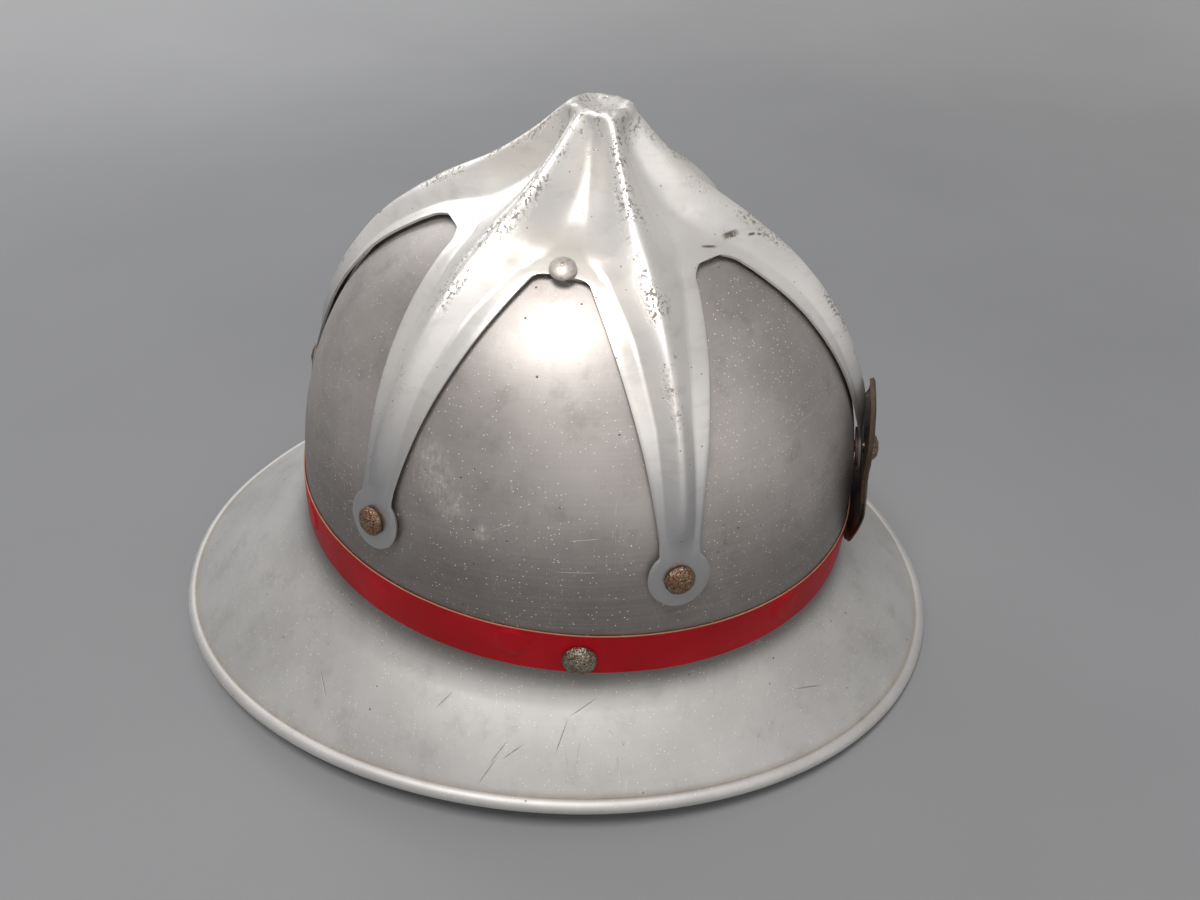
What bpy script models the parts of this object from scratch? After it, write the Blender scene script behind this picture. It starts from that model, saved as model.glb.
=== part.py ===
"""Pressed-aluminium firefighter helmet: shell, six-armed crown star, band, badge, liner and chin strap.

Metres, +Z up, origin on the resting plane under the middle of the brim. The wearer faces -Y,
and the wearer's right is -X. The dome has its own frame, tipped forward on the brim.
An angle round the dome starts at the front and grows through the wearer's right.
"""
import math

import bmesh
import bpy
from mathutils import Matrix, Vector

MM = 0.001

# Brim
BRIM_HALF_LENGTH = 174 * MM
BRIM_HALF_WIDTH = 142.3 * MM
BRIM_SIDE_RISE = 9 * MM
BRIM_FLAT_ANGLE = math.radians(14)
BEAD_RADIUS = 3 * MM
BEAD_START = 50
BEAD_ANGLES = (50, 20, -10, -42, -75, -105, -140, -175, -210)
FILLET_DROP = 7 * MM
FILLET_SHARE = 0.22
BRIM_CROWN = 1.2 * MM

# Dome
DOME_CENTRE = Vector((0, -13 * MM, 51.9 * MM))
DOME_TILT = math.radians(3.8)
DOME_HALF_LENGTH = 118 * MM
DOME_WIDTH_RATIO = 0.92
DOME_HEIGHT = 139 * MM
HEIGHT_POWER = 2.4
RADIUS_POWER = 2.2
SHEET = 1.1 * MM
SHELL_COLUMNS = 40
DOME_ROWS = 12

# Crown star: ridge and valley of the crown as (radius, height), then offsets from the dome along an arm
ARM_COUNT = 6
ARM_STEP = 2 * math.pi / ARM_COUNT
SIDE_GAPS = (1, 4)
CROWN_RIDGE_MM = ((11.5, 169.5), (16, 165.5), (23, 159), (32, 152), (41, 146), (51, 140.6))
CROWN_VALLEY_MM = ((11, 169), (13.5, 163.8), (19, 156.6), (27, 148.2), (36.5, 140.4), (47.5, 134))
CROWN_DISH = 0.8 * MM
ARM_HEIGHTS_MM = (129.6, 128.8, 126.8, 126.1, 123, 116, 106, 94, 82, 71, 63, 57)
OPENING_TOP = 129.6 * MM
OPENING_TOP_HALF = 5 * MM
SIDE_OPENING_TOP = 126.8 * MM
SIDE_OPENING_TOP_HALF = 4.5 * MM
TOP_EDGE_DEPTH = 1 * MM
RIDGE_OFFSET_MM = ((55.5, 3.2), (60, 4.4), (66, 5), (85, 5.4), (107, 6.8), (125, 8.6), (131, 10.4))
FLANGE_OFFSET_MM = ((50, 3.2), (66, 2.6), (131, 2.8))
ARM_END_HALF = 7.4 * MM
ARM_WIDENING = 13.4 * MM
ARM_END_RADIUS = 111 * MM
RIDGE_HALF = 3.8 * MM
RIDGE_SHARE = 0.42
FOOT_SHARE = 0.45
SHOULDER_LEVEL = 0.92
FOOT_LEVEL = 0.06
STAR_SHEET = 1 * MM
TAB_HEIGHT = 44.9 * MM
TAB_RADIUS = 11.2 * MM
TAB_OFFSET = 3.2 * MM
TAB_ROWS_MM = (9.5, 6.5, 2.5, -2.5, -7, -9.8, -11)
TAB_NECK = 7.2 * MM

# Rivets and washers, with depths measured along the outward normal from the dome's outer face
GAP = 0.3 * MM
STAR_SHANK = 2.4 * MM
STAR_HEAD = 5.5 * MM
STAR_HEAD_RISE = 3 * MM
STAR_TAIL = 4 * MM
STAR_TAIL_RISE = 1 * MM
SPACER_RADIUS = 8 * MM
SPACER_TOP = 1.6 * MM
CROWN_RIVET_HEIGHT = 128.1 * MM
CROWN_HEAD = 4.7 * MM
CROWN_HEAD_RISE = 2.2 * MM
CROWN_SEAT = 3.3 * MM
STRAP_ANGLE = math.radians(78)
STRAP_RIVET_HEIGHT = 8.5 * MM
STRAP_SHANK = 3 * MM
STRAP_HEAD = 6.4 * MM
STRAP_HEAD_RISE = 4.8 * MM
STRAP_TAIL = 5 * MM
STRAP_TAIL_RISE = 1.2 * MM
ROUND_SIDES = 10
HOLE_REACH = 12 * MM
WIRE_SIDES = 6

# Band and badge
BAND_FROM = 0.8 * MM
BAND_TO = 19.5 * MM
BAND_OUTER = 0.8 * MM
BAND_SHEET = 0.5 * MM
BADGE_HALF_WIDTH = 31 * MM
BADGE_SIDE_TOP = 50 * MM
BADGE_PEAK = 24.5 * MM
BADGE_POINT = -1 * MM
BADGE_SIDE_RISE = 40 * MM
BADGE_SIDE_POWER = 2.2
BADGE_BEND = 250 * MM
BADGE_SHEET = 2 * MM
BADGE_OFFSET_MM = ((-1, 3.3), (14, 3.8), (24, 5), (31, 5.8), (42.4, 5.9), (49, 6), (58, 7.8), (66, 9.1),
                   (79, 10.8))

# Liner
LINER_ANGLES_DEG = (37, 90, 143, 217, 270, 323)
LINER_RIVET_HEIGHT = 12.5 * MM
LINER_SHANK = 2.4 * MM
LINER_HEAD = 5 * MM
LINER_HEAD_RISE = 1.6 * MM
LINER_HEAD_SEAT = -15.8 * MM
LINER_SHANK_TOP = -0.5 * MM
HOOP_OUTER = -9 * MM
HOOP_SHEET = 1 * MM
HOOP_FROM = 2 * MM
HOOP_TO = 23 * MM
SPACER_OUTER_END = -2.4 * MM
LINER_SPACER_RADIUS = 6.5 * MM
TONGUE_INNER = -12.4 * MM
TONGUE_SHEET = 1.6 * MM
TONGUE_SHARES = (-1, -0.5, 0, 0.5, 1)
TONGUE_WALL_MM = ((4, 22), (20, 22), (36, 20))
TONGUE_FREE_MM = ((100.5, 46, 17), (94, 60, 14), (81, 77, 11), (63, 90, 9), (45, 98, 7.5), (33, 102, 6.5))
LACE_RADIUS = 24 * MM
LACE_HEIGHT = 101 * MM
LACE_THICKNESS = 1.5 * MM
LOOP_RADIUS = 2.4 * MM
LOOP_HALF_WIDTH = 6 * MM
LOOP_ANGLES = (90, 135, 180, 225, 270, 325)
SWEATBAND_OUTER = -13.1 * MM
SWEATBAND_SHEET = 1.8 * MM
SWEATBAND_FROM = -4 * MM
SWEATBAND_TO = 34 * MM
LINER_COLUMNS = 36

# Chin strap: its frame turns about the line through both studs, and its own +Y runs along the strap
PIVOT = Vector((0, -38 * MM, 36 * MM))
STRAP_DROP = math.radians(12)
BUCKLE_PLANE = 98.3 * MM
STRAP_FACE = 96.5 * MM
STRAP_SHEET = 1.8 * MM
STRAP_HALF = 8.5 * MM
STRAP_STRAIGHT = 45 * MM
STRAP_LOOP_DEPTH = 80 * MM
STRAP_LOOP_STEPS = 18
STRAP_END_MM = ((-8.5, 3), (-6.5, 6.5), (-3, 8.5), (3, 8.5), (10, 8.5))
LONG_STRAP_BUCKLE_MM = ((39.5, -1.8), (36, -0.6), (30, 2.7), (24, 6), (20, 6.3), (14, 5.2), (8, 4.6))
HEEL_BAR = 20 * MM
FAR_BAR = 40 * MM
FRAME_HALF = 11 * MM
FRAME_CORNER = 3 * MM
FRAME_WIRE = 1.3 * MM
SHORT_LOOP = 1.8 * MM
SHORT_NOTCH = 2.6 * MM
SHORT_NOTCH_FROM = 15 * MM
SHORT_LOOP_ANGLES = (-90, -45, 0, 45, 90, 150)
TONGUE_EYE = 2.6 * MM
TONGUE_WIRE = 1 * MM
TONGUE_EYE_ANGLES = (-60, -100, -140, -180, -220, -250, -270)
TONGUE_REACH = 42.5 * MM
SLOT_FROM = 18 * MM
SLOT_TO = 33 * MM
SLOT_HALF = 2 * MM
KEEPER_FROM = 10 * MM
KEEPER_TO = 15 * MM
KEEPER_INNER_SIDE = -5.2 * MM
KEEPER_OUTER_SIDE = 7 * MM
KEEPER_HALF = 10.2 * MM
KEEPER_SHEET = 1.2 * MM
HANGER_FACE = 98.1 * MM
HANGER_SHEET = 1.2 * MM
HANGER_HALF = 8 * MM
HANGER_OFFSET = -2.3 * MM
HANGER_TOP = 17 * MM
HANGER_BEND = 2 * MM
HANGER_END_MM = ((0, 8), (5.5, 5.8), (7.8, 2))
STUD_SHANK = 2 * MM
STUD_HEAD = 4 * MM
STUD_HEAD_RISE = 1.6 * MM
STUD_TAIL_RISE = 1.4 * MM
STUD_HOLE_DEPTH = 8 * MM
SLOT_CUT_MIDDLE = 4 * MM
SLOT_CUT_DEPTH = 16 * MM
TONGUE_REACHES_MM = (4, 10, 16)

ARM_NAMES = ("front", "front_right", "rear_right", "rear", "rear_left", "front_left")
LINER_NAMES = ("front_right", "right", "rear_right", "rear_left", "left", "front_left")
SIDES = (("right", -1), ("left", 1))


# Materials: colour, metallic, roughness
MATERIALS = {
    "shell_aluminium": ((0.52, 0.52, 0.51), 1.0, 0.42),
    "star_aluminium": ((0.72, 0.71, 0.68), 1.0, 0.33),
    "rivet_steel": ((0.30, 0.22, 0.16), 0.9, 0.6),
    "strap_rivet_steel": ((0.38, 0.38, 0.33), 0.9, 0.5),
    "red_tape": ((0.42, 0.01, 0.012), 0.0, 0.35),
    "badge_bronze": ((0.16, 0.11, 0.07), 0.8, 0.5),
    "plated_steel": ((0.55, 0.54, 0.5), 1.0, 0.4),
    "fibre": ((0.12, 0.07, 0.05), 0.0, 0.8),
    "leather": ((0.2, 0.09, 0.045), 0.0, 0.6),
    "strap_leather": ((0.07, 0.035, 0.02), 0.0, 0.55),
    "lace_cotton": ((0.5, 0.43, 0.32), 0.0, 0.9),
}


def material(name):
    """Return the named material, made on first use."""
    found = bpy.data.materials.get(name)
    if found:
        return found
    colour, metallic, roughness = MATERIALS[name]
    made = bpy.data.materials.new(name)
    made.use_nodes = True
    shader = made.node_tree.nodes["Principled BSDF"]
    shader.inputs["Base Color"].default_value = (*colour, 1.0)
    shader.inputs["Metallic"].default_value = metallic
    shader.inputs["Roughness"].default_value = roughness
    made.diffuse_color = (*colour, 1.0)
    return made


def ramp(points_mm, at):
    """Read a value, in metres, off a broken line of (place, value) points in millimetres."""
    places = [place * MM for place, _ in points_mm]
    values = [value * MM for _, value in points_mm]
    if at <= places[0]:
        return values[0]
    for index in range(1, len(places)):
        if at <= places[index]:
            share = (at - places[index - 1]) / (places[index] - places[index - 1])
            return values[index - 1] + share * (values[index] - values[index - 1])
    return values[-1]


# The dome's surface, in the dome's frame
def dome_radius(height):
    """Half-length of the dome at a height above its foot."""
    if height <= 0:
        return DOME_HALF_LENGTH
    return DOME_HALF_LENGTH * (1 - (height / DOME_HEIGHT) ** HEIGHT_POWER) ** (1 / RADIUS_POWER)


def ring_point(angle, radius, height):
    """A point on the ellipse of that half-length."""
    return Vector((-DOME_WIDTH_RATIO * radius * math.sin(angle), -radius * math.cos(angle), height))


def dome_normal(angle, height):
    """Outward normal of the dome, from the gradient of its formula."""
    radius = dome_radius(height)
    across = RADIUS_POWER * radius ** (RADIUS_POWER - 1) / DOME_HALF_LENGTH ** RADIUS_POWER
    up = 0.0
    if height > 0:
        up = HEIGHT_POWER * height ** (HEIGHT_POWER - 1) / DOME_HEIGHT ** HEIGHT_POWER
    return Vector((-across * math.sin(angle) / DOME_WIDTH_RATIO, -across * math.cos(angle), up)).normalized()


def dome_point(angle, height, offset=0.0):
    """A point that stands off the dome's outer face by an offset along its normal."""
    return ring_point(angle, dome_radius(height), height) + offset * dome_normal(angle, height)


def dome_seat(angle, height):
    """Matrix of a place on the dome: local Z points outward and local X runs round the dome."""
    normal = dome_normal(angle, height)
    along = Vector((0, 0, 1)).cross(normal).normalized()
    up = normal.cross(along)
    turn = Matrix((along, up, normal)).transposed().to_4x4()
    return Matrix.Translation(dome_point(angle, height)) @ turn


def turn_for(distance, angle, radius):
    """The angle that covers a distance round the ellipse at that place."""
    stretch = math.hypot(DOME_WIDTH_RATIO * math.cos(angle), math.sin(angle))
    return distance / (radius * stretch)


DOME_MATRIX = Matrix.Translation(DOME_CENTRE) @ Matrix.Rotation(DOME_TILT, 4, "X")
STRAP_MATRIX = Matrix.Translation(PIVOT) @ Matrix.Rotation(-STRAP_DROP, 4, "X")


# Mesh helpers
def new_object(name, mesh, slot, parent=None, place=None):
    """Link a mesh as a named object with its material."""
    item = bpy.data.objects.new(name, mesh)
    bpy.context.scene.collection.objects.link(item)
    if not mesh.materials:
        mesh.materials.append(material(slot))
    mesh.shade_smooth()
    mesh.set_sharp_from_angle(angle=math.radians(35))
    if parent:
        item.parent = parent
    if place:
        item.matrix_local = place
    return item


def empty(name, place):
    """A guide that pieces are parented to."""
    guide = bpy.data.objects.new(name, None)
    bpy.context.scene.collection.objects.link(guide)
    guide.matrix_world = place
    return guide


def grid_mesh(name, rows, closed=False, skip=None):
    """A sheet from rows of points; a row of one point closes to a fan."""
    bm = bmesh.new()
    made = [[bm.verts.new(point) for point in row] for row in rows]
    for r in range(len(made) - 1):
        upper = made[r]
        lower = made[r + 1]
        count = len(lower) if closed else len(lower) - 1
        for c in range(count):
            if skip and skip(r, c):
                continue
            n = (c + 1) % len(lower)
            if len(upper) == 1:
                bm.faces.new((upper[0], lower[n], lower[c]))
            else:
                bm.faces.new((upper[c], upper[n], lower[n], lower[c]))
    loose = [vert for vert in bm.verts if not vert.link_faces]
    bmesh.ops.delete(bm, geom=loose, context="VERTS")
    mesh = bpy.data.meshes.new(name)
    bm.to_mesh(mesh)
    bm.free()
    return mesh


def thicken(item, thickness):
    """Give a sheet its thickness behind its front face."""
    solid = item.modifiers.new("sheet", "SOLIDIFY")
    solid.thickness = thickness
    solid.offset = -1
    solid.use_even_offset = True
    return item


def turned_mesh(name, profile, sides=ROUND_SIDES):
    """A solid turned about local Z from (radius, height) points, top to bottom, ending on the axis."""
    rows = []
    for radius, height in profile:
        if radius == 0:
            rows.append([Vector((0, 0, height))])
            continue
        turns = [2 * math.pi * i / sides for i in range(sides)]
        rows.append([Vector((radius * math.sin(-t), -radius * math.cos(t), height)) for t in turns])
    bm = bmesh.new()
    made = [[bm.verts.new(point) for point in row] for row in rows]
    for upper, lower in zip(made, made[1:]):
        for c in range(sides):
            n = (c + 1) % sides
            if len(upper) == 1:
                bm.faces.new((upper[0], lower[n], lower[c]))
            elif len(lower) == 1:
                bm.faces.new((upper[c], upper[n], lower[0]))
            else:
                bm.faces.new((upper[c], upper[n], lower[n], lower[c]))
    bmesh.ops.recalc_face_normals(bm, faces=bm.faces)
    mesh = bpy.data.meshes.new(name)
    bm.to_mesh(mesh)
    bm.free()
    return mesh


def ring_mesh(name, inner, outer, top, bottom):
    """A washer turned about local Z."""
    return turned_ring(name, ((inner, top), (outer, top), (outer, bottom), (inner, bottom)))


def turned_ring(name, corners):
    """A ring of the given section, turned about local Z."""
    bm = bmesh.new()
    loops = []
    for i in range(ROUND_SIDES):
        turn = 2 * math.pi * i / ROUND_SIDES
        loops.append([bm.verts.new((r * math.cos(turn), r * math.sin(turn), z)) for r, z in corners])
    for i, loop in enumerate(loops):
        following = loops[(i + 1) % ROUND_SIDES]
        for c in range(len(corners)):
            n = (c + 1) % len(corners)
            bm.faces.new((loop[c], loop[n], following[n], following[c]))
    bmesh.ops.recalc_face_normals(bm, faces=bm.faces)
    mesh = bpy.data.meshes.new(name)
    bm.to_mesh(mesh)
    bm.free()
    return mesh


def tube_mesh(name, points, radius, sides, closed):
    """A round wire along points."""
    bm = bmesh.new()
    count = len(points)
    loops = []
    side = None
    for i, point in enumerate(points):
        before = points[(i - 1) % count] if closed or i else point
        after = points[(i + 1) % count] if closed or i < count - 1 else point
        along = (after - before).normalized()
        if side is None:
            side = along.orthogonal().normalized()
        side = (side - along * side.dot(along)).normalized()
        other = along.cross(side)
        ring = []
        for s in range(sides):
            turn = 2 * math.pi * s / sides
            ring.append(bm.verts.new(point + radius * (math.cos(turn) * side + math.sin(turn) * other)))
        loops.append(ring)
    spans = count if closed else count - 1
    for i in range(spans):
        here = loops[i]
        there = loops[(i + 1) % count]
        for s in range(sides):
            n = (s + 1) % sides
            bm.faces.new((here[s], here[n], there[n], there[s]))
    if not closed:
        bm.faces.new(list(reversed(loops[0])))
        bm.faces.new(loops[-1])
    bmesh.ops.recalc_face_normals(bm, faces=bm.faces)
    mesh = bpy.data.meshes.new(name)
    bm.to_mesh(mesh)
    bm.free()
    return mesh


def cutter(name, rods):
    """One hidden cutter made of round rods, each (matrix, radius, top, bottom), in world space."""
    bm = bmesh.new()
    for matrix, radius, top, bottom in rods:
        place = matrix @ Matrix.Translation((0, 0, (top + bottom) / 2))
        bmesh.ops.create_cone(bm, cap_ends=True, segments=ROUND_SIDES, radius1=radius, radius2=radius,
                              depth=top - bottom, matrix=place)
    mesh = bpy.data.meshes.new(name)
    bm.to_mesh(mesh)
    bm.free()
    return hidden(name, mesh)


def hidden(name, mesh):
    """Link a mesh as a guide that is left out of the model."""
    item = bpy.data.objects.new(name, mesh)
    bpy.context.scene.collection.objects.link(item)
    item.hide_render = True
    item.display_type = "WIRE"
    return item


def cut(item, tool):
    """Take a cutter out of a piece."""
    boolean = item.modifiers.new("holes", "BOOLEAN")
    boolean.operation = "DIFFERENCE"
    boolean.solver = "EXACT"
    boolean.object = tool


def rivet_profile(head, rise, seat, shank, tail_seat, tail, tail_rise):
    """Domed head, shank and flat tail."""
    points = [(0, seat + rise)]
    points += [(head * math.sin(t), seat + rise * math.cos(t)) for t in (0.45, 0.9, 1.3)]
    points += [(head, seat), (shank, seat), (shank, tail_seat), (tail, tail_seat)]
    points += [(tail, tail_seat - tail_rise), (0, tail_seat - tail_rise)]
    return points


# Shell
def brim_lift(angle):
    """Height of the brim's edge above the table: flat at front and rear, raised at the sides."""
    start = math.sin(BRIM_FLAT_ANGLE) ** 2
    return BRIM_SIDE_RISE * max(0.0, (math.sin(angle) ** 2 - start) / (1 - start))


def bead_frame(angle):
    """Centre of the rolled edge and its outward direction."""
    reach = Vector((-math.sin(angle) / BRIM_HALF_WIDTH, -math.cos(angle) / BRIM_HALF_LENGTH, 0)).normalized()
    edge = Vector((-BRIM_HALF_WIDTH * math.sin(angle), -BRIM_HALF_LENGTH * math.cos(angle), 0))
    foot = -BEAD_RADIUS * math.sin(math.radians(BEAD_ANGLES[4]))
    return edge - BEAD_RADIUS * reach + Vector((0, 0, foot + brim_lift(angle))), reach


def bead_point(angle, degrees):
    """A point of the rolled edge's section."""
    centre, reach = bead_frame(angle)
    turn = math.radians(degrees)
    return centre + BEAD_RADIUS * (math.cos(turn) * reach + math.sin(turn) * Vector((0, 0, 1)))


def brim_point(angle, share):
    """A point on the brim from the dome's foot (0) to the rolled edge (1)."""
    foot = DOME_MATRIX @ dome_point(angle, 0)
    corner = DOME_MATRIX @ dome_point(angle, 0) - FILLET_DROP * (DOME_MATRIX.to_3x3() @ Vector((0, 0, 1)))
    edge = bead_point(angle, BEAD_START)
    end = corner.lerp(edge, FILLET_SHARE)
    if share <= FILLET_SHARE:
        t = share / FILLET_SHARE
        return foot.lerp(corner, t).lerp(corner.lerp(end, t), t)
    t = (share - FILLET_SHARE) / (1 - FILLET_SHARE)
    return end.lerp(edge, t) + Vector((0, 0, BRIM_CROWN * math.sin(math.pi * t)))


def make_shell(tool):
    """Dome, brim and rolled edge as one pressing."""
    turns = [2 * math.pi * c / SHELL_COLUMNS for c in range(SHELL_COLUMNS)]
    rows = [[DOME_MATRIX @ Vector((0, 0, DOME_HEIGHT))]]
    for r in range(1, DOME_ROWS + 1):
        swing = math.pi / 2 * r / DOME_ROWS
        radius = DOME_HALF_LENGTH * math.sin(swing) ** (2 / RADIUS_POWER)
        height = DOME_HEIGHT * max(0.0, math.cos(swing)) ** (2 / HEIGHT_POWER)
        rows.append([DOME_MATRIX @ ring_point(turn, radius, height) for turn in turns])
    for share in (0.08, 0.15, FILLET_SHARE, 0.48, 0.74):
        rows.append([brim_point(turn, share) for turn in turns])
    for degrees in BEAD_ANGLES:
        rows.append([bead_point(turn, degrees) for turn in turns])
    shell = new_object("shell", grid_mesh("shell", rows, closed=True), "shell_aluminium")
    thicken(shell, SHEET)
    cut(shell, tool)


# Crown star
def star_angle(turn):
    """The dome's angle for a turn in plan, so that the arms stand evenly apart seen from above."""
    angle = math.atan2(math.sin(turn), DOME_WIDTH_RATIO * math.cos(turn))
    return angle + 2 * math.pi * round((turn - angle) / (2 * math.pi))


def arm_half_width(height):
    """Half the width of an arm where it lies over that height of the dome."""
    return ARM_END_HALF + ARM_WIDENING * (1 - (dome_radius(height) / ARM_END_RADIUS) ** 3)


def opening_top(gap):
    """Height of the top of an opening, and half the width of its flat top."""
    if gap % ARM_COUNT in SIDE_GAPS:
        return SIDE_OPENING_TOP, SIDE_OPENING_TOP_HALF
    return OPENING_TOP, OPENING_TOP_HALF


def web_half(arm, gap, radius):
    """Distance from an arm's middle to the middle of the gap beside it."""
    middle = star_angle(arm * ARM_STEP)
    span = abs(star_angle((gap + 0.5) * ARM_STEP) - middle)
    return span / turn_for(1, middle, radius)


def arm_half(arm, gap, height):
    """Distance from an arm's middle to its edge, or to the middle of the web above an opening."""
    top, top_half = opening_top(gap)
    full = web_half(arm, gap, dome_radius(height))
    if height >= top:
        return full
    if height > top - TOP_EDGE_DEPTH:
        return full - top_half
    return arm_half_width(height)


def across_arm(before, after, relief):
    """Distances from the ridge across an arm, with how much of the ridge's height each keeps."""
    shoulder = min(RIDGE_HALF, RIDGE_SHARE * relief)
    foot = shoulder + FOOT_SHARE * (relief - shoulder)
    inner = [(shoulder, SHOULDER_LEVEL), (foot, FOOT_LEVEL)]
    left = [(-before, 0.0)] + [(-distance, level) for distance, level in reversed(inner)]
    return left + [(0.0, 1.0)] + inner + [(after, 0.0)]


def arm_rows(arm):
    """Rows of points along one arm, from the crown to the end of its tab."""
    middle = star_angle(arm * ARM_STEP)
    rows = []
    for (ridge_r, ridge_h), (valley_r, valley_h) in zip(CROWN_RIDGE_MM, CROWN_VALLEY_MM):
        before = web_half(arm, arm - 1, valley_r * MM)
        after = web_half(arm, arm, valley_r * MM)
        row = []
        for distance, level in across_arm(before, after, min(before, after, ARM_END_HALF + ARM_WIDENING)):
            radius = (valley_r + level * (ridge_r - valley_r)) * MM
            height = (valley_h + level * (ridge_h - valley_h)) * MM
            row.append(ring_point(middle + turn_for(distance, middle, valley_r * MM), radius, height))
        rows.append(row)
    for height in [value * MM for value in ARM_HEIGHTS_MM]:
        flange = ramp(FLANGE_OFFSET_MM, height)
        ridge = max(flange, ramp(RIDGE_OFFSET_MM, height))
        before = arm_half(arm, arm - 1, height)
        after = arm_half(arm, arm, height)
        row = []
        for distance, level in across_arm(before, after, arm_half_width(height)):
            angle = middle + turn_for(distance, middle, dome_radius(height))
            row.append(dome_point(angle, height, flange + level * (ridge - flange)))
        rows.append(row)
    for index, rise in enumerate(value * MM for value in TAB_ROWS_MM):
        height = TAB_HEIGHT + rise
        half = TAB_NECK if index == 0 else math.sqrt(TAB_RADIUS ** 2 - rise ** 2)
        row = []
        for distance, _ in across_arm(half, half, half):
            angle = middle + turn_for(distance, middle, dome_radius(height))
            row.append(dome_point(angle, height, TAB_OFFSET))
        rows.append(row)
    return rows


def shared_rows(gap):
    """How many rows two neighbouring arms share down to the top of the opening between them."""
    top, _ = opening_top(gap)
    return len(CROWN_RIDGE_MM) + sum(1 for height in ARM_HEIGHTS_MM if height * MM >= top)


def make_star(parent, tool):
    """The star as one sheet: arms share their edges down to the top of each opening."""
    bm = bmesh.new()
    arms = []
    for arm in range(ARM_COUNT):
        made = []
        for r, row in enumerate(arm_rows(arm)):
            last = len(row) - 1
            line = []
            for c, point in enumerate(row):
                if c == 0 and arm > 0 and r < shared_rows(arm - 1):
                    line.append(arms[-1][r][last])
                elif c == last and arm == ARM_COUNT - 1 and r < shared_rows(arm):
                    line.append(arms[0][r][0])
                else:
                    line.append(bm.verts.new(point))
            made.append(line)
        arms.append(made)
    top = bm.verts.new((0, 0, CROWN_VALLEY_MM[0][1] * MM - CROWN_DISH))
    for made in arms:
        for c in range(len(made[0]) - 1):
            bm.faces.new((top, made[0][c + 1], made[0][c]))
        for upper, lower in zip(made, made[1:]):
            for c in range(len(upper) - 1):
                bm.faces.new((upper[c], upper[c + 1], lower[c + 1], lower[c]))
    mesh = bpy.data.meshes.new("crown_star")
    bm.to_mesh(mesh)
    bm.free()
    star = new_object("crown_star", mesh, "star_aluminium", parent)
    thicken(star, STAR_SHEET)
    cut(star, tool)


def make_star_fixings(parent):
    """A rivet and a washer at each tab, and a rivet above each side opening."""
    spacer = ring_mesh("star_spacer", STAR_SHANK + GAP, SPACER_RADIUS, SPACER_TOP, GAP)
    tail_seat = -SHEET - 3 * GAP
    over_tab = TAB_OFFSET + GAP
    over_badge = ramp(BADGE_OFFSET_MM, TAB_HEIGHT) + 2 * GAP
    tail = (STAR_SHANK, tail_seat, STAR_TAIL, STAR_TAIL_RISE)
    plain = rivet_profile(STAR_HEAD, STAR_HEAD_RISE, over_tab, *tail)
    front = rivet_profile(STAR_HEAD, STAR_HEAD_RISE, over_badge, *tail)
    plain_mesh = turned_mesh("star_rivet", plain)
    front_mesh = turned_mesh("star_rivet_front", front)
    for arm, name in enumerate(ARM_NAMES):
        seat = dome_seat(star_angle(arm * ARM_STEP), TAB_HEIGHT)
        mesh = front_mesh if name == "front" else plain_mesh
        new_object("star_rivet_" + name, mesh, "rivet_steel", parent, seat)
        new_object("star_spacer_" + name, spacer, "fibre", parent, seat)
    crown = rivet_profile(CROWN_HEAD, CROWN_HEAD_RISE, CROWN_SEAT, *tail)
    crown_mesh = turned_mesh("crown_rivet", crown)
    for side, sign in SIDES:
        seat = dome_seat(-sign * math.pi / 2, CROWN_RIVET_HEIGHT)
        new_object("crown_rivet_" + side, crown_mesh, "plated_steel", parent, seat)


# Band and badge
def make_band(parent, tool):
    """Tape round the foot of the dome."""
    turns = [2 * math.pi * c / SHELL_COLUMNS for c in range(SHELL_COLUMNS)]
    rows = [[dome_point(turn, height, BAND_OUTER) for turn in turns] for height in (BAND_TO, BAND_FROM)]
    band = new_object("red_band", grid_mesh("red_band", rows, closed=True), "red_tape", parent)
    thicken(band, BAND_SHEET)
    cut(band, tool)


def make_badge(parent, tool):
    """Shield plate across the front of the dome, nearly flat and clear of the arm's ridge."""
    shares = [i / 4 for i in range(-4, 5)]
    levels = [i / 8 for i in range(8, -1, -1)]
    rows = []
    for level in levels:
        row = []
        for share in shares:
            bottom = BADGE_POINT + BADGE_SIDE_RISE * abs(share) ** BADGE_SIDE_POWER
            top = BADGE_SIDE_TOP + BADGE_PEAK * (1 - abs(share))
            height = bottom + level * (top - bottom)
            across = share * BADGE_HALF_WIDTH
            centre = dome_point(0, height, ramp(BADGE_OFFSET_MM, height))
            row.append(centre + Vector((-across, across ** 2 / (2 * BADGE_BEND), 0)))
        rows.append(row)
    badge = new_object("badge_plate", grid_mesh("badge_plate", rows), "badge_bronze", parent)
    thicken(badge, BADGE_SHEET)
    cut(badge, tool)


# Liner
def make_hoop(parent, tool):
    """Metal hoop that the leather hangs from."""
    turns = [2 * math.pi * c / LINER_COLUMNS for c in range(LINER_COLUMNS)]
    rows = [[dome_point(turn, height, HOOP_OUTER) for turn in turns] for height in (HOOP_TO, HOOP_FROM)]
    hoop = new_object("liner_hoop", grid_mesh("liner_hoop", rows, closed=True), "plated_steel", parent)
    thicken(hoop, HOOP_SHEET)
    cut(hoop, tool)


def make_sweatband(parent, tool):
    """Leather band inside the hoop."""
    turns = [2 * math.pi * c / LINER_COLUMNS for c in range(LINER_COLUMNS)]
    heights = (SWEATBAND_TO, LINER_RIVET_HEIGHT, SWEATBAND_FROM)
    rows = [[dome_point(turn, height, SWEATBAND_OUTER) for turn in turns] for height in heights]
    band = new_object("sweatband", grid_mesh("sweatband", rows, closed=True), "leather", parent)
    thicken(band, SWEATBAND_SHEET)
    cut(band, tool)


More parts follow.
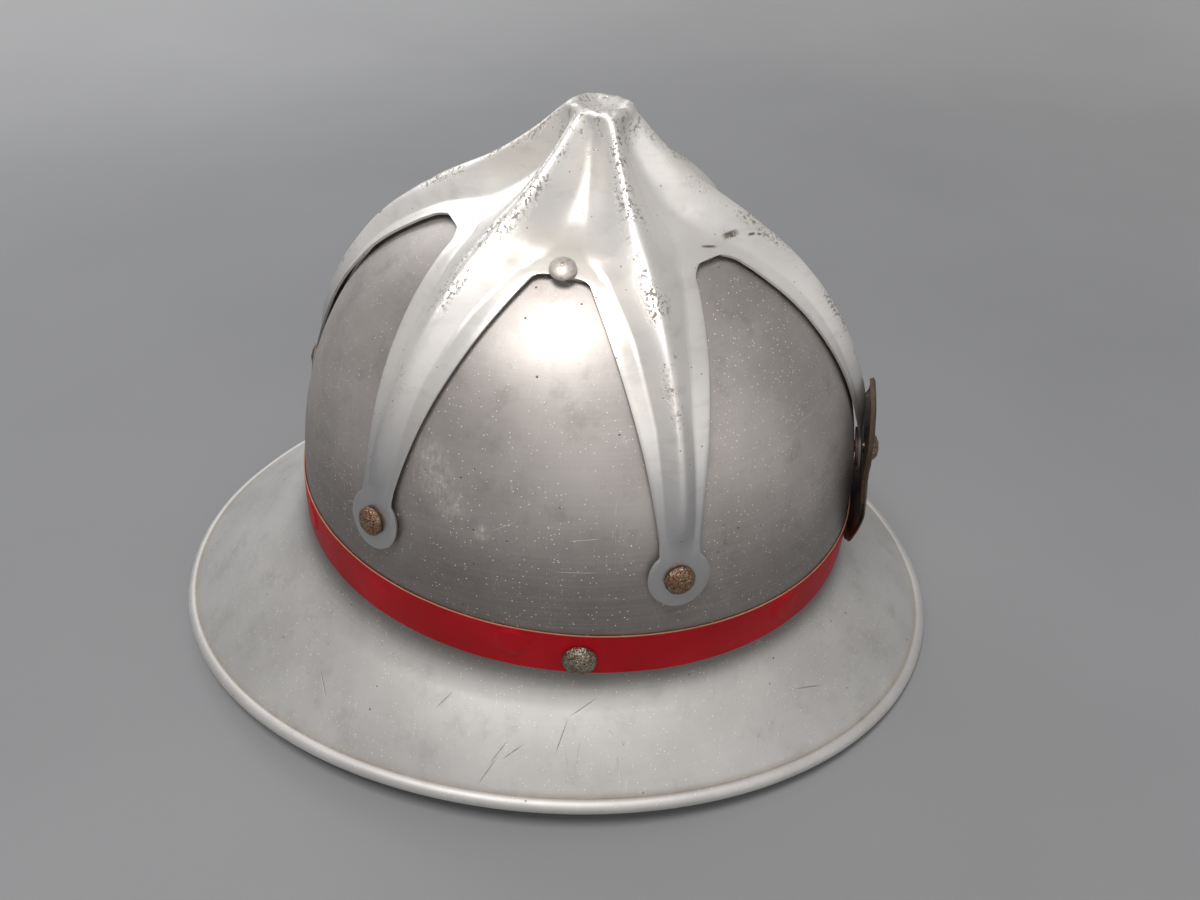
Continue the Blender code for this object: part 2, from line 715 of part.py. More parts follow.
def tongue_rows(middle):
    """Rows of one leather tongue, from the hoop up and in to its loop round the lace."""
    rows = []
    for height_mm, half_mm in TONGUE_WALL_MM:
        height = height_mm * MM
        radius = dome_radius(height)
        row = []
        for share in TONGUE_SHARES:
            angle = middle + turn_for(share * half_mm * MM, middle, radius)
            row.append(dome_point(angle, height, TONGUE_INNER))
        rows.append(row)
    free = [(r * MM, h * MM, half * MM) for r, h, half in TONGUE_FREE_MM]
    for degrees in LOOP_ANGLES:
        turn = math.radians(degrees)
        radius = LACE_RADIUS + LOOP_RADIUS * math.cos(turn)
        free.append((radius, LACE_HEIGHT + LOOP_RADIUS * math.sin(turn), LOOP_HALF_WIDTH))
    for radius, height, half in free:
        row = []
        for share in TONGUE_SHARES:
            row.append(ring_point(middle + turn_for(share * half, middle, radius), radius, height))
        rows.append(row)
    return rows


def make_liner(parent, tool):
    """Hoop, sweatband, and at each fixing a rivet, a spacer and a tongue."""
    make_hoop(parent, tool)
    make_sweatband(parent, tool)
    bore = LINER_SHANK + GAP
    spacer = ring_mesh("liner_spacer", bore, LINER_SPACER_RADIUS, SPACER_OUTER_END, HOOP_OUTER + GAP)
    head = [(LINER_HEAD * math.cos(t), LINER_HEAD_SEAT - LINER_HEAD_RISE * math.sin(t)) for t in (0.4, 0.9)]
    profile = [(0, LINER_SHANK_TOP), (LINER_SHANK, LINER_SHANK_TOP), (LINER_SHANK, LINER_HEAD_SEAT)]
    profile += [(LINER_HEAD, LINER_HEAD_SEAT), *head, (0, LINER_HEAD_SEAT - LINER_HEAD_RISE)]
    rivet = turned_mesh("liner_rivet", profile)
    for name, degrees in zip(LINER_NAMES, LINER_ANGLES_DEG):
        middle = math.radians(degrees)
        seat = dome_seat(middle, LINER_RIVET_HEIGHT)
        new_object("liner_rivet_" + name, rivet, "plated_steel", parent, seat)
        new_object("liner_spacer_" + name, spacer, "fibre", parent, seat)
        mesh = grid_mesh("liner_tongue", tongue_rows(middle))
        tongue = new_object("liner_tongue_" + name, mesh, "leather", parent)
        thicken(tongue, TONGUE_SHEET)
        cut(tongue, tool)
    turns = [2 * math.pi * c / LINER_COLUMNS for c in range(LINER_COLUMNS)]
    path = [ring_point(turn, LACE_RADIUS, LACE_HEIGHT) for turn in turns]
    lace_mesh = tube_mesh("crown_lace", path, LACE_THICKNESS, WIRE_SIDES, True)
    new_object("crown_lace", lace_mesh, "lace_cotton", parent)


# Chin strap
def stud_seat(sign):
    """Matrix of a strap stud: local Z points out of the helmet's side."""
    place = Vector((sign * BUCKLE_PLANE, PIVOT.y, PIVOT.z))
    return Matrix.Translation(place) @ Matrix.Rotation(sign * math.pi / 2, 4, "Y")


def make_strap_fixings(parent, tool):
    """Band rivets, hanger plates and the studs that the strap turns on."""
    tail_seat = HANGER_OFFSET - HANGER_SHEET - GAP
    band_rivet = rivet_profile(STRAP_HEAD, STRAP_HEAD_RISE, BAND_OUTER + GAP, STRAP_SHANK, tail_seat,
                               STRAP_TAIL, STRAP_TAIL_RISE)
    rivet_mesh = turned_mesh("strap_rivet", band_rivet)
    stud_tail = STRAP_FACE - BUCKLE_PLANE - STRAP_SHEET - GAP
    stud = rivet_profile(STUD_HEAD, STUD_HEAD_RISE, GAP / 3, STUD_SHANK, stud_tail, STUD_HEAD,
                         STUD_TAIL_RISE)
    stud_mesh = turned_mesh("strap_stud", stud)
    for side, sign in SIDES:
        middle = -sign * STRAP_ANGLE
        new_object("strap_rivet_" + side, rivet_mesh, "strap_rivet_steel", parent,
                   dome_seat(middle, STRAP_RIVET_HEIGHT))
        new_object("strap_stud_" + side, stud_mesh, "plated_steel", None, stud_seat(sign))
        mesh = grid_mesh("strap_hanger", hanger_rows(sign))
        hanger = new_object("strap_hanger_" + side, mesh, "plated_steel")
        thicken(hanger, HANGER_SHEET)
        cut(hanger, tool)


def hanger_rows(sign):
    """Rows of a hanger plate, from behind the band rivet down to below the stud."""
    middle = -sign * STRAP_ANGLE
    up = DOME_MATRIX.to_3x3() @ Vector((0, 0, 1))
    outward = DOME_MATRIX.to_3x3() @ dome_normal(middle, 0)
    along = -up.cross(outward).normalized()
    rows = []
    for height in (HANGER_TOP, HANGER_BEND):
        centre = DOME_MATRIX @ dome_point(middle, height, HANGER_OFFSET)
        rows.append([centre - HANGER_HALF * along, centre, centre + HANGER_HALF * along])
    back = Vector((0, -sign, 0))
    plate = [(-HANGER_HALF, HANGER_HALF)] + [(drop * MM, half * MM) for drop, half in HANGER_END_MM]
    for drop, half in plate:
        centre = Vector((sign * HANGER_FACE, PIVOT.y, PIVOT.z - drop))
        rows.append([centre - half * back, centre, centre + half * back])
    return rows


def strap_row(x, along, half):
    """Three points across the strap."""
    return [Vector((x, along, share * half)) for share in (-1, 0, 1)]


def make_long_strap(parent, tool):
    """Strap from the right stud round the chin to the buckle near the left stud."""
    rows = [strap_row(-STRAP_FACE, at * MM, half * MM) for at, half in STRAP_END_MM]
    rows.append(strap_row(-STRAP_FACE, STRAP_STRAIGHT / 2, STRAP_HALF))
    for i in range(STRAP_LOOP_STEPS + 1):
        turn = math.pi * i / STRAP_LOOP_STEPS
        along = STRAP_STRAIGHT + STRAP_LOOP_DEPTH * math.sin(turn)
        rows.append(strap_row(-STRAP_FACE * math.cos(turn), along, STRAP_HALF))
    for along, side in LONG_STRAP_BUCKLE_MM:
        rows.append(strap_row(BUCKLE_PLANE + side * MM, along * MM, STRAP_HALF))
    strap = new_object("chin_strap_long", grid_mesh("chin_strap_long", rows), "strap_leather", parent)
    thicken(strap, STRAP_SHEET)
    cut(strap, tool)


def make_short_strap(parent, tool):
    """Strap from the left stud to its loop round the buckle's heel bar, notched for the tongue."""
    places = [(at * MM, -SHORT_LOOP, half * MM) for at, half in STRAP_END_MM]
    places.append((SHORT_NOTCH_FROM, -SHORT_LOOP, STRAP_HALF))
    notch_row = len(places) - 1
    for degrees in SHORT_LOOP_ANGLES:
        turn = math.radians(degrees)
        places.append((HEEL_BAR + SHORT_LOOP * math.cos(turn), SHORT_LOOP * math.sin(turn), STRAP_HALF))
    rows = []
    for along, side, half in places:
        notch = SHORT_NOTCH * half / STRAP_HALF
        rows.append([Vector((BUCKLE_PLANE + side, along, w)) for w in (half, notch, -notch, -half)])
    mesh = grid_mesh("chin_strap_short", rows, skip=lambda r, c: c == 1 and r >= notch_row)
    strap = new_object("chin_strap_short", mesh, "strap_leather", parent)
    thicken(strap, STRAP_SHEET)
    cut(strap, tool)


def make_buckle(parent):
    """Wire frame, tongue on the heel bar, and the leather keeper."""
    corners = ((FAR_BAR, FRAME_HALF, 0), (HEEL_BAR, FRAME_HALF, 90), (HEEL_BAR, -FRAME_HALF, 180),
               (FAR_BAR, -FRAME_HALF, 270))
    path = []
    for along, across, start in corners:
        centre_along = along - math.copysign(FRAME_CORNER, along - (HEEL_BAR + FAR_BAR) / 2)
        centre_across = across - math.copysign(FRAME_CORNER, across)
        for degrees in (0, 30, 60, 90):
            turn = math.radians(start + degrees)
            path.append(Vector((BUCKLE_PLANE, centre_along + FRAME_CORNER * math.cos(turn),
                                centre_across + FRAME_CORNER * math.sin(turn))))
    frame_mesh = tube_mesh("buckle_frame", path, FRAME_WIRE, WIRE_SIDES, True)
    new_object("buckle_frame", frame_mesh, "plated_steel", parent)
    wire = []
    for degrees in TONGUE_EYE_ANGLES:
        turn = math.radians(degrees)
        wire.append(Vector((TONGUE_EYE * math.sin(turn), TONGUE_EYE * math.cos(turn), 0)))
    for reach in [value * MM for value in TONGUE_REACHES_MM] + [TONGUE_REACH - HEEL_BAR]:
        wire.append(Vector((TONGUE_EYE, reach, 0)))
    tongue_mesh = tube_mesh("buckle_tongue", wire, TONGUE_WIRE, WIRE_SIDES, False)
    new_object("buckle_tongue", tongue_mesh, "plated_steel", parent,
               Matrix.Translation((BUCKLE_PLANE, HEEL_BAR, 0)))
    rows = []
    for along in (KEEPER_FROM, KEEPER_TO):
        inner = BUCKLE_PLANE + KEEPER_INNER_SIDE
        outer = BUCKLE_PLANE + KEEPER_OUTER_SIDE
        rows.append([Vector((inner, along, -KEEPER_HALF)), Vector((outer, along, -KEEPER_HALF)),
                     Vector((outer, along, KEEPER_HALF)), Vector((inner, along, KEEPER_HALF))])
    keeper = new_object("strap_keeper", grid_mesh("strap_keeper", rows, closed=True), "strap_leather", parent)
    thicken(keeper, KEEPER_SHEET)


def strap_cutter():
    """Stud holes in both straps."""
    rods = [(stud_seat(sign), STUD_SHANK + GAP, 0, -STUD_HOLE_DEPTH) for _, sign in SIDES]
    return cutter("strap_hole_cutter", rods)


def slot_cutter():
    """Box that cuts the tongue's slot in the long strap."""
    bm = bmesh.new()
    middle = Vector((BUCKLE_PLANE + SLOT_CUT_MIDDLE, (SLOT_FROM + SLOT_TO) / 2, 0))
    size = Matrix.Diagonal((SLOT_CUT_DEPTH, SLOT_TO - SLOT_FROM, 2 * SLOT_HALF, 1))
    bmesh.ops.create_cube(bm, size=1, matrix=STRAP_MATRIX @ Matrix.Translation(middle) @ size)
    mesh = bpy.data.meshes.new("slot_cutter")
    bm.to_mesh(mesh)
    bm.free()
    return hidden("slot_cutter", mesh)


def clear_scene():
    """Start from an empty scene."""
    for item in list(bpy.data.objects):
        bpy.data.objects.remove(item, do_unlink=True)


def rods_through(places, radius, top, bottom):
    """Round rods through places on the dome, each (angle, height)."""
    return [(DOME_MATRIX @ dome_seat(angle, height), radius, top, bottom) for angle, height in places]


def main():
    """Build the helmet."""
    clear_scene()
    dome = empty("dome_frame", DOME_MATRIX)
    strap = empty("strap_frame", STRAP_MATRIX)
    bpy.context.view_layer.update()
    tabs = [(star_angle(arm * ARM_STEP), TAB_HEIGHT) for arm in range(ARM_COUNT)]
    crown_places = [(-sign * math.pi / 2, CROWN_RIVET_HEIGHT) for _, sign in SIDES]
    strap_places = [(-sign * STRAP_ANGLE, STRAP_RIVET_HEIGHT) for _, sign in SIDES]
    liner_places = [(math.radians(degrees), LINER_RIVET_HEIGHT) for degrees in LINER_ANGLES_DEG]
    star_rods = rods_through(tabs + crown_places, STAR_SHANK + GAP, HOLE_REACH, -HOLE_REACH / 2)
    strap_rods = rods_through(strap_places, STRAP_SHANK + GAP, HOLE_REACH, -HOLE_REACH / 2)
    liner_rods = rods_through(liner_places, LINER_SHANK + GAP, HOLE_REACH / 2, -1.5 * HOLE_REACH)
    star_tool = cutter("star_hole_cutter", star_rods)
    liner_tool = cutter("liner_hole_cutter", liner_rods)
    shell_tool = cutter("shell_hole_cutter", star_rods + strap_rods + liner_rods)
    band_tool = cutter("band_hole_cutter", strap_rods)
    stud_rods = [(stud_seat(sign), STUD_SHANK + GAP, HOLE_REACH / 2, -HOLE_REACH / 2) for _, sign in SIDES]
    hanger_tool = cutter("hanger_hole_cutter", strap_rods + stud_rods)
    stud_tool = strap_cutter()
    make_shell(shell_tool)
    make_star(dome, star_tool)
    make_star_fixings(dome)
    make_band(dome, band_tool)
    make_badge(dome, star_tool)
    make_liner(dome, liner_tool)
    make_strap_fixings(dome, hanger_tool)
    make_long_strap(strap, stud_tool)
    cut(bpy.data.objects["chin_strap_long"], slot_cutter())
    make_short_strap(strap, stud_tool)
    make_buckle(strap)


main()
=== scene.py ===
"""Looks of a worn pressed-aluminium firefighter helmet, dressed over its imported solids.

Metres, +Z up. The wearer faces -Y and the wearer's right is -X. An angle round the dome starts
at the front and grows through the wearer's right.
"""
import math

import bmesh
import bpy
from mathutils import Matrix, Vector, noise


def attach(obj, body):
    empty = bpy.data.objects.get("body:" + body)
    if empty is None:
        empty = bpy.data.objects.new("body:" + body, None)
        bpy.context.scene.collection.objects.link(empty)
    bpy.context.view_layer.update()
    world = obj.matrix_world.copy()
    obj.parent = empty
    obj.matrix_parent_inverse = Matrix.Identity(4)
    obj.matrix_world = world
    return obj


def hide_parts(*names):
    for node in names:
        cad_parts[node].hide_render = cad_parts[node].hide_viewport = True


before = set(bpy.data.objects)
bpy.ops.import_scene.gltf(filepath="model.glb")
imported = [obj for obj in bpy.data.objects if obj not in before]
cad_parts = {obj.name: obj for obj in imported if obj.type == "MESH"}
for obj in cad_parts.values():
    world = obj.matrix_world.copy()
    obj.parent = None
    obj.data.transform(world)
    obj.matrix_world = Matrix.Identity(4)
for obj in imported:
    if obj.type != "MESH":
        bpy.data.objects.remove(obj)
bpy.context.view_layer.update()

MM = 0.001

# Brim
BRIM_HALF_LENGTH = 174 * MM
BRIM_HALF_WIDTH = 142.3 * MM
BRIM_SIDE_RISE = 9 * MM
BRIM_FLAT_ANGLE = math.radians(14)
BRIM_CROWN = 1.2 * MM
BRIM_BEATEN = 0.5 * MM
BRIM_BEATEN_SCALE = 18
BRIM_ROWS = 44
BEAD_RADIUS = 3 * MM
BEAD_START = 112
BEAD_END = -210
BEAD_FOOT = 75
BEAD_ROWS = 30
BEAD_GROOVE = 0.3 * MM
BEAD_GROOVE_SHARE = 0.03
FILLET_DROP = 7 * MM
FILLET_SHARE = 0.22

# Dome
DOME_CENTRE = Vector((0, -13 * MM, 51.9 * MM))
DOME_TILT = math.radians(3.8)
DOME_HALF_LENGTH = 118 * MM
DOME_WIDTH_RATIO = 0.92
DOME_HEIGHT = 139 * MM
HEIGHT_POWER = 2.4
RADIUS_POWER = 2.2
DOME_BEATEN = 0.25 * MM
DOME_BEATEN_SCALE = 22
DOME_BEATEN_FROM = 30 * MM
DOME_ROWS = 72
SHELL_COLUMNS = 240
SHEET = 1.1 * MM

# Where painted shade at the dome's foot, darkening in the fillet, dirt in the seam by the bead, the bead's
# painted highlight and specks painted white as glints lie on the shell
FOOT_PAINTED_SHADE = 0.85
FOOT_SHADE_TOP = 80 * MM
FOOT_SHADE_FADE = 55 * MM
FILLET_DARKENING = 0.5
FILLET_DARKENING_END = 0.14
FILLET_DARKENING_FADE = 0.1
SEAM_SHARE = 0.028
BEAD_SEAM = 0.8
BEAD_FADE_ROWS = 2
BRIM_FADE = 0.2
SPECK_MIDDLE_DEG = 50
SPECK_SPREAD_DEG = 34
SPECK_LEAST = 0.35
SPECK_BRIM = 0.1

# Crown star
ARM_COUNT = 6
ARM_STEP = 2 * math.pi / ARM_COUNT
SIDE_GAPS = (1, 4)
CROWN_RIDGE_MM = ((12.2, 168.9), (16, 165.5), (23, 159), (32, 152), (41, 146))
CROWN_VALLEY_MM = ((11.9, 168.2), (12.7, 162.4), (16.8, 154.2), (24.2, 145.6), (34.4, 138.6))
CROWN_CAP_MM = ((0, 168.3), (3.5, 168.3), (6.3, 168.7), (8, 169.7), (9.3, 170.1), (10.4, 170), (11.4, 169.5))
CROWN_HEIGHT_STEP = 2
CROWN_LUMP = 0.7 * MM
CROWN_LUMP_FROM = 6
CROWN_LUMP_SCALES = (230, 620)
ARM_HEIGHTS_MM = (131, 129, 127, 125, 122, 115, 106, 94, 82, 71, 63, 57, 51.5, 45.5, 39.5, 33.8)
OPENING = (128.4 * MM, 0.3, 6.5 * MM)
SIDE_OPENING = (126.8 * MM, 0.55, 2.5 * MM)
RIDGE_OFFSET_MM = ((55.5, 3.2), (60.5, 4.6), (66, 5.7), (85, 6.5), (107, 7.6), (125, 8.8), (131, 10.4))
FLANGE_OFFSET_MM = ((52, 3.2), (66, 2.6), (131, 2.8))
ARM_END_HALF = 7.4 * MM
ARM_WIDENING = 13.4 * MM
ARM_WIDENING_POWER = 3
ARM_END_RADIUS = 111 * MM
RIDGE_FOOT_MM = ((54, 4.4), (66, 5.4), (94, 6.2), (115, 9), (127, 13), (131, 15))
FLANGE_FROM = 0.66
WEB_RISE = 9 * MM
WEB_FOOT = 0.99
CREST_ROUND = 2.1 * MM
WEB_CREST_ROUND = 3 * MM
ARM_FLANK = 1.05
WEB_FLANK = 2.1
FLANK_STEPS = 13
FLANGE_STEPS = 5
EDGE_ROLL = 0.35 * MM
# Painted shade: below this height the star's arms are coloured darker and made more metallic
LOW_ARM = 108 * MM
LOW_ARM_FADE = 54 * MM
CROWN_WEAR_FROM = 11 * MM
CROWN_WEAR_FADE = 8 * MM
RIDGE_WEAR_RISE = 2.5 * MM
STAR_BEATEN = 0.22 * MM
STAR_BEATEN_SCALE = 45
STAR_SHEET = 1 * MM
TAB_HEIGHT = 44.9 * MM
TAB_RADIUS = 11.2 * MM
TAB_OFFSET = 3.2 * MM
TAB_TIP = 0.4 * MM
ROWS_BETWEEN = 7

# Rivets and washers, measured along the outward normal from the dome's outer face
GAP = 0.3 * MM
STAR_SHANK = 2.4 * MM
STAR_HEAD = 5.5 * MM
STAR_HEAD_RISE = 3 * MM
STAR_TAIL = 4 * MM
STAR_TAIL_RISE = 1 * MM
SPACER_RADIUS = 8 * MM
SPACER_TOP = 1.6 * MM
CROWN_RIVET_HEIGHT = 128.1 * MM
CROWN_HEAD = 4.7 * MM
CROWN_HEAD_RISE = 2.4 * MM
CROWN_SEAT = 3.3 * MM
DIMPLE_RADIUS = 0.9 * MM
DIMPLE_DEPTH = 0.25 * MM
DIMPLE_STEPS = 4
STRAP_ANGLE = math.radians(78)
STRAP_RIVET_HEIGHT = 8.5 * MM
STRAP_SHANK = 3 * MM
STRAP_HEAD = 6.4 * MM
STRAP_HEAD_RISE = 4.9 * MM
STRAP_TAIL = 5 * MM
STRAP_TAIL_RISE = 1.2 * MM
RIVET_LIP = 0.35 * MM
RIVET_UNDERCUT = 0.15 * MM
RIVET_HEAD_STEPS = 12
RIVET_TAIL_STEPS = 4
RIVET_TAIL_WALL = 0.4
ROUND_SIDES = 40
HAMMER_SCALE = 600
OLD_HAMMER = 0.03
NEW_HAMMER = 0.01
CROWN_HAMMER = 0.015

# Band and badge
BAND_FROM = 0.8 * MM
BAND_TO = 19.5 * MM
BAND_OUTER = 0.8 * MM
BAND_SHEET = 0.5 * MM
BAND_ROWS = 28
BAND_LIP = 0.5
BAND_COLUMNS = 600
BAND_WAVE = (0.08 * MM, 9, 90)
BUMP_RADIUS = 6.5 * MM
BUMP_EDGE = 1.4 * MM
BUMP_RISE = 0.75 * MM
BADGE_HALF_WIDTH = 31 * MM
BADGE_SIDE_TOP = 50 * MM
BADGE_PEAK = 24.5 * MM
BADGE_BEND = 250 * MM
BADGE_POINT = -1 * MM
BADGE_SIDE_RISE = 40 * MM
BADGE_SIDE_POWER = 2.2
BADGE_SHEET = 2 * MM
BADGE_STEPS = 48
BADGE_RIM = 0.7 * MM
BADGE_RIM_WIDTH = 0.13
BADGE_RIM_FADE = 0.05
BADGE_RIM_ROUND = 0.025
BADGE_RIM_FALL = 0.8
BADGE_RIM_BASE = 0.3
BADGE_RIM_SHEET = 0.4
BADGE_ENDS = 1.1
BADGE_OFFSET_MM = ((-1, 3.3), (14, 3.8), (24, 5), (31, 5.8), (42.4, 5.9), (49, 6), (58, 7.8), (66, 9.1),
                   (79, 10.8))

# Liner
LINER_ANGLES_DEG = (37, 90, 143, 217, 270, 323)
LINER_RIVET_HEIGHT = 12.5 * MM
LINER_SHANK = 2.4 * MM
LINER_HEAD = 5 * MM
LINER_HEAD_RISE = 1.6 * MM
LINER_HEAD_SEAT = -15.8 * MM
LINER_HEAD_STEPS = 8
LINER_SHANK_TOP = -0.5 * MM
HOOP_OUTER = -9 * MM
HOOP_SHEET = 1 * MM
HOOP_FROM = 2 * MM
HOOP_TO = 23 * MM
HOOP_ROWS = 6
HOOP_COLUMNS = 180
SPACER_OUTER_END = -2.4 * MM
LINER_SPACER_RADIUS = 6.5 * MM
TONGUE_INNER = -12.4 * MM
TONGUE_SHEET = 1.6 * MM
TONGUE_BEVEL = 0.35 * MM
TONGUE_HALF_COLUMNS = 6
TONGUE_ROWS_BETWEEN = 6
TONGUE_WALL_MM = ((4, 22), (20, 22), (36, 20))
TONGUE_FREE_MM = ((100.5, 46, 17), (94, 60, 14), (81, 77, 11), (63, 90, 9), (45, 98, 7.5), (33, 102, 6.5))
LACE_RADIUS = 24 * MM
LACE_HEIGHT = 101 * MM
LACE_STRANDS = 3
LACE_STRAND = 0.78 * MM
LACE_LAY = 0.72 * MM
LACE_TURNS = 26
LACE_STEPS = 10
LACE_SIDES = 8
LOOP_CLEAR = 0.1 * MM
LOOP_RADIUS = 2.4 * MM
LOOP_HALF_WIDTH = 6 * MM
LOOP_ANGLES = (112, 135, 158, 180, 202, 225, 248, 270, 298, 325)
SWEATBAND_OUTER = -13.1 * MM
SWEATBAND_SHEET = 1.8 * MM
SWEATBAND_FROM = -4 * MM
SWEATBAND_TO = 34 * MM
SWEATBAND_ROWS = 18
SWEATBAND_COLUMNS = 240
SWEATBAND_WAVE = (0.15 * MM, 6, 60)
SWEATBAND_BEVEL = 0.4 * MM

# Stitches: places along one as shares of its length, with their rise out of the leather in millimetres
STITCH_LENGTH = 2.6 * MM
STITCH_STEP = 4 * MM
STITCH_RADIUS = 0.4 * MM
STITCH_SIDES = 6
STITCH_INSET = 3 * MM
BAND_STITCH_RISE = 0.15 * MM
BAND_STITCH_MM = ((-0.5, 0.5), (-0.25, 0.0), (0, -0.15), (0.25, 0.0), (0.5, 0.5))
STRAP_STITCH_RADIUS = 0.32 * MM
STRAP_STITCH_INSET = 1.8 * MM
STRAP_STITCH_RISE = 0.12 * MM
STRAP_STITCH_FIRST = 6
STRAP_STITCH_LAST = 12
STRAP_STITCH_MM = ((-0.5, -0.45), (-0.25, 0), (0, 0.1), (0.25, 0), (0.5, -0.45))

# Chin strap: its frame turns about the line through both studs, and its own +Y runs along the strap
PIVOT = Vector((0, -38 * MM, 36 * MM))
STRAP_DROP = math.radians(12)
BUCKLE_PLANE = 98.3 * MM
STRAP_FACE = 96.5 * MM
STRAP_SHEET = 1.8 * MM
STRAP_BEVEL = 0.3 * MM
STRAP_HALF = 8.5 * MM
STRAP_STRAIGHT = 45 * MM
STRAP_LOOP_DEPTH = 80 * MM
STRAP_LOOP_STEPS = 72
STRAP_END_MM = ((-8.5, 2), (-8, 4.3), (-7, 6.2), (-5.5, 7.5), (-3, 8.5), (3, 8.5), (10, 8.5))
STRAP_TAIL_MM = ((39.5, -1.8), (36, -0.6), (33, 1), (30, 2.7), (27, 4.5), (24, 6), (20, 6.3), (14, 5.2),
                 (8, 4.6))
STRAP_TAIL_BETWEEN = 4
HEEL_BAR = 20 * MM
FAR_BAR = 40 * MM
FRAME_HALF = 11 * MM
FRAME_CORNER = 3 * MM
FRAME_CORNER_STEPS = 6
FRAME_WIRE = 1.3 * MM
FRAME_SIDES = 16
SHORT_LOOP = 1.8 * MM
SHORT_LOOP_TURN = 240
SHORT_LOOP_STEPS = 16
SHORT_NOTCH = 2.6 * MM
SHORT_NOTCH_FROM = 15 * MM
TONGUE_EYE = 2.6 * MM
TONGUE_EYE_DEG = (-60, -270)
TONGUE_EYE_STEPS = 21
TONGUE_WIRE = 1 * MM
TONGUE_SIDES = 14
TONGUE_REACHES_MM = (4, 10, 16, 22.5)
SLOT_FROM = 18 * MM
SLOT_TO = 33 * MM
SLOT_HALF = 2 * MM
KEEPER_FROM = 10 * MM
KEEPER_TO = 15 * MM
KEEPER_INNER_SIDE = -5.2 * MM
KEEPER_OUTER_SIDE = 7 * MM
KEEPER_HALF = 10.2 * MM
KEEPER_CORNER = 1.2 * MM
KEEPER_STEPS = 4
KEEPER_SHEET = 1.2 * MM
HANGER_FACE = 98.1 * MM
HANGER_SHEET = 1.2 * MM
HANGER_HALF = 8 * MM
HANGER_OFFSET = -2.3 * MM
HANGER_HEIGHTS_MM = (17, 9, 2)
HANGER_DROPS_MM = (-8, -4, 0)
HANGER_END_DEG = (20, 40, 55, 70, 80)
HANGER_HALF_COLUMNS = 4
TRIM_BEVEL = 0.25 * MM
STUD_SHANK = 2 * MM
STUD_HEAD = 4 * MM
STUD_HEAD_RISE = 1.6 * MM
STUD_TAIL_RISE = 1.4 * MM

# Marks of wear: rubbed places on the dome as (angle, height, size, strength), scrapes on the dome between
# two (angle, height) places, scratches on the brim in plan, and chips in the silvering of the front arm as
# (start, end, skin normal, half width)
RUBS_DEG_MM = ((112, 81, 6, 0.35), (109, 75, 7, 0.5), (106, 69, 7, 0.5), (103, 62, 6, 0.45),
               (96.5, 55.7, 2.6, 1), (100.7, 111.7, 5, 0.4), (60, 96, 4, 0.4))
RUB_SPREAD = 1.6
SCRAPES_DEG_MM = (((95.5, 56.5), (89.8, 63.6)), ((101, 69), (102.4, 60)), ((75, 60), (82, 58)),
                  ((84, 46), (75, 47)))
SCRAPE_WIDTH = 0.22 * MM
SCRATCHES_MM = (((-137.1, -5.9), (-128.7, -12.7)), ((-132.1, -9), (-124.5, -15.2)),
                ((-130, -13.6), (-124.6, -21.4)), ((-125.6, -32.6), (-115, -35.6)),
                ((-115, -35.6), (-107.6, -45.3)), ((-120, 14.3), (-114.5, 8.2)),
                ((-118, 60), (-108, 66)), ((-70, -128), (-78, -116)))
SCRATCH_WIDTH = 0.26 * MM
STAR_CHIPS_MM = (
    ((-13.5, -69.9, 181.4), (-7.5, -76.5, 182.0), (-0.59, -0.48, 0.65), 1.7),
    ((-23.7, -63.5, 182.0), (-18.4, -69.9, 180.4), (-0.20, -0.41, 0.89), 0.8),
    ((-7.5, -78.7, 180.6), (-4.8, -81.9, 180.5), (-0.55, -0.47, 0.69), 0.7),
    ((-5.1, -81.9, 180.3), (-3.8, -83.9, 179.7), (-0.50, -0.52, 0.69), 0.6))

# Stage, lamps as (name, place, size, power, colour), and the camera, read from the photograph's perspective
STAGE_HOLE = 0.0005
STAGE_FLAT = 0.9
STAGE_BEND = 0.9
STAGE_TOP = 1.1
STAGE_FADE = 1.7
STAGE_STEPS = 16
STAGE_SIDES = 96
LAMP_TARGET = Vector((0.0, 0.0, 0.1))
LAMPS = (("overhead", (-0.50, 0.07, 1.40), (0.55, 0.55), 14.0, (1.0, 0.97, 0.94)),
         ("camera_side", (-1.25, -0.6, 0.9), (0.9, 0.9), 3.3, (1.0, 0.98, 0.96)),
         ("front", (-0.54, -1.08, 0.424), (0.864, 0.504), 0.78, (1.0, 0.98, 0.96)),
         ("behind", (0.9, 0.8, 0.9), (0.9, 0.6), 5.0, (0.97, 0.98, 1.0)))
WORLD_COLOUR = (0.80, 0.81, 0.83, 1.0)
WORLD_STRENGTH = 0.33
CAMERA_PLACE = Vector((-0.3350, -0.0924, 0.3279))
CAMERA_FORWARD = Vector((0.78328, 0.16064, -0.60057))
CAMERA_UP = Vector((0.58833, 0.12066, 0.79958))
CAMERA_LENS = 29.26
CAMERA_CLIP = 0.01
SENSOR_WIDTH = 36

BEVEL_ANGLE = math.radians(50)
SHARP_FOLD = math.radians(42)
ARM_NAMES = ("front", "front_right", "rear_right", "rear", "rear_left", "front_left")
LINER_NAMES = ("front_right", "right", "rear_right", "rear_left", "left", "front_left")
SIDES = (("right", -1), ("left", 1))
UP = Vector((0, 0, 1))
DOME_MATRIX = Matrix.Translation(DOME_CENTRE) @ Matrix.Rotation(DOME_TILT, 4, "X")
STRAP_MATRIX = Matrix.Translation(PIVOT) @ Matrix.Rotation(-STRAP_DROP, 4, "X")


# Shapes shared by the pieces
def ramp(points_mm, at):
    """Read a value, in metres, off a line through (place, value) points in millimetres."""
    points = [(place * MM, value * MM) for place, value in points_mm]
    if at <= points[0][0]:
        return points[0][1]
    for (start, low), (end, high) in zip(points, points[1:]):
        if at <= end:
            return low + (at - start) / (end - start) * (high - low)
    return points[-1][1]


def smooth_step(share):
    """Ease from 0 to 1."""
    share = min(1.0, max(0.0, share))
    return share * share * (3 - 2 * share)


def evenly(start, end, steps):
    """Numbers from start to end in equal steps."""
    return [start + (end - start) * i / steps for i in range(steps + 1)]


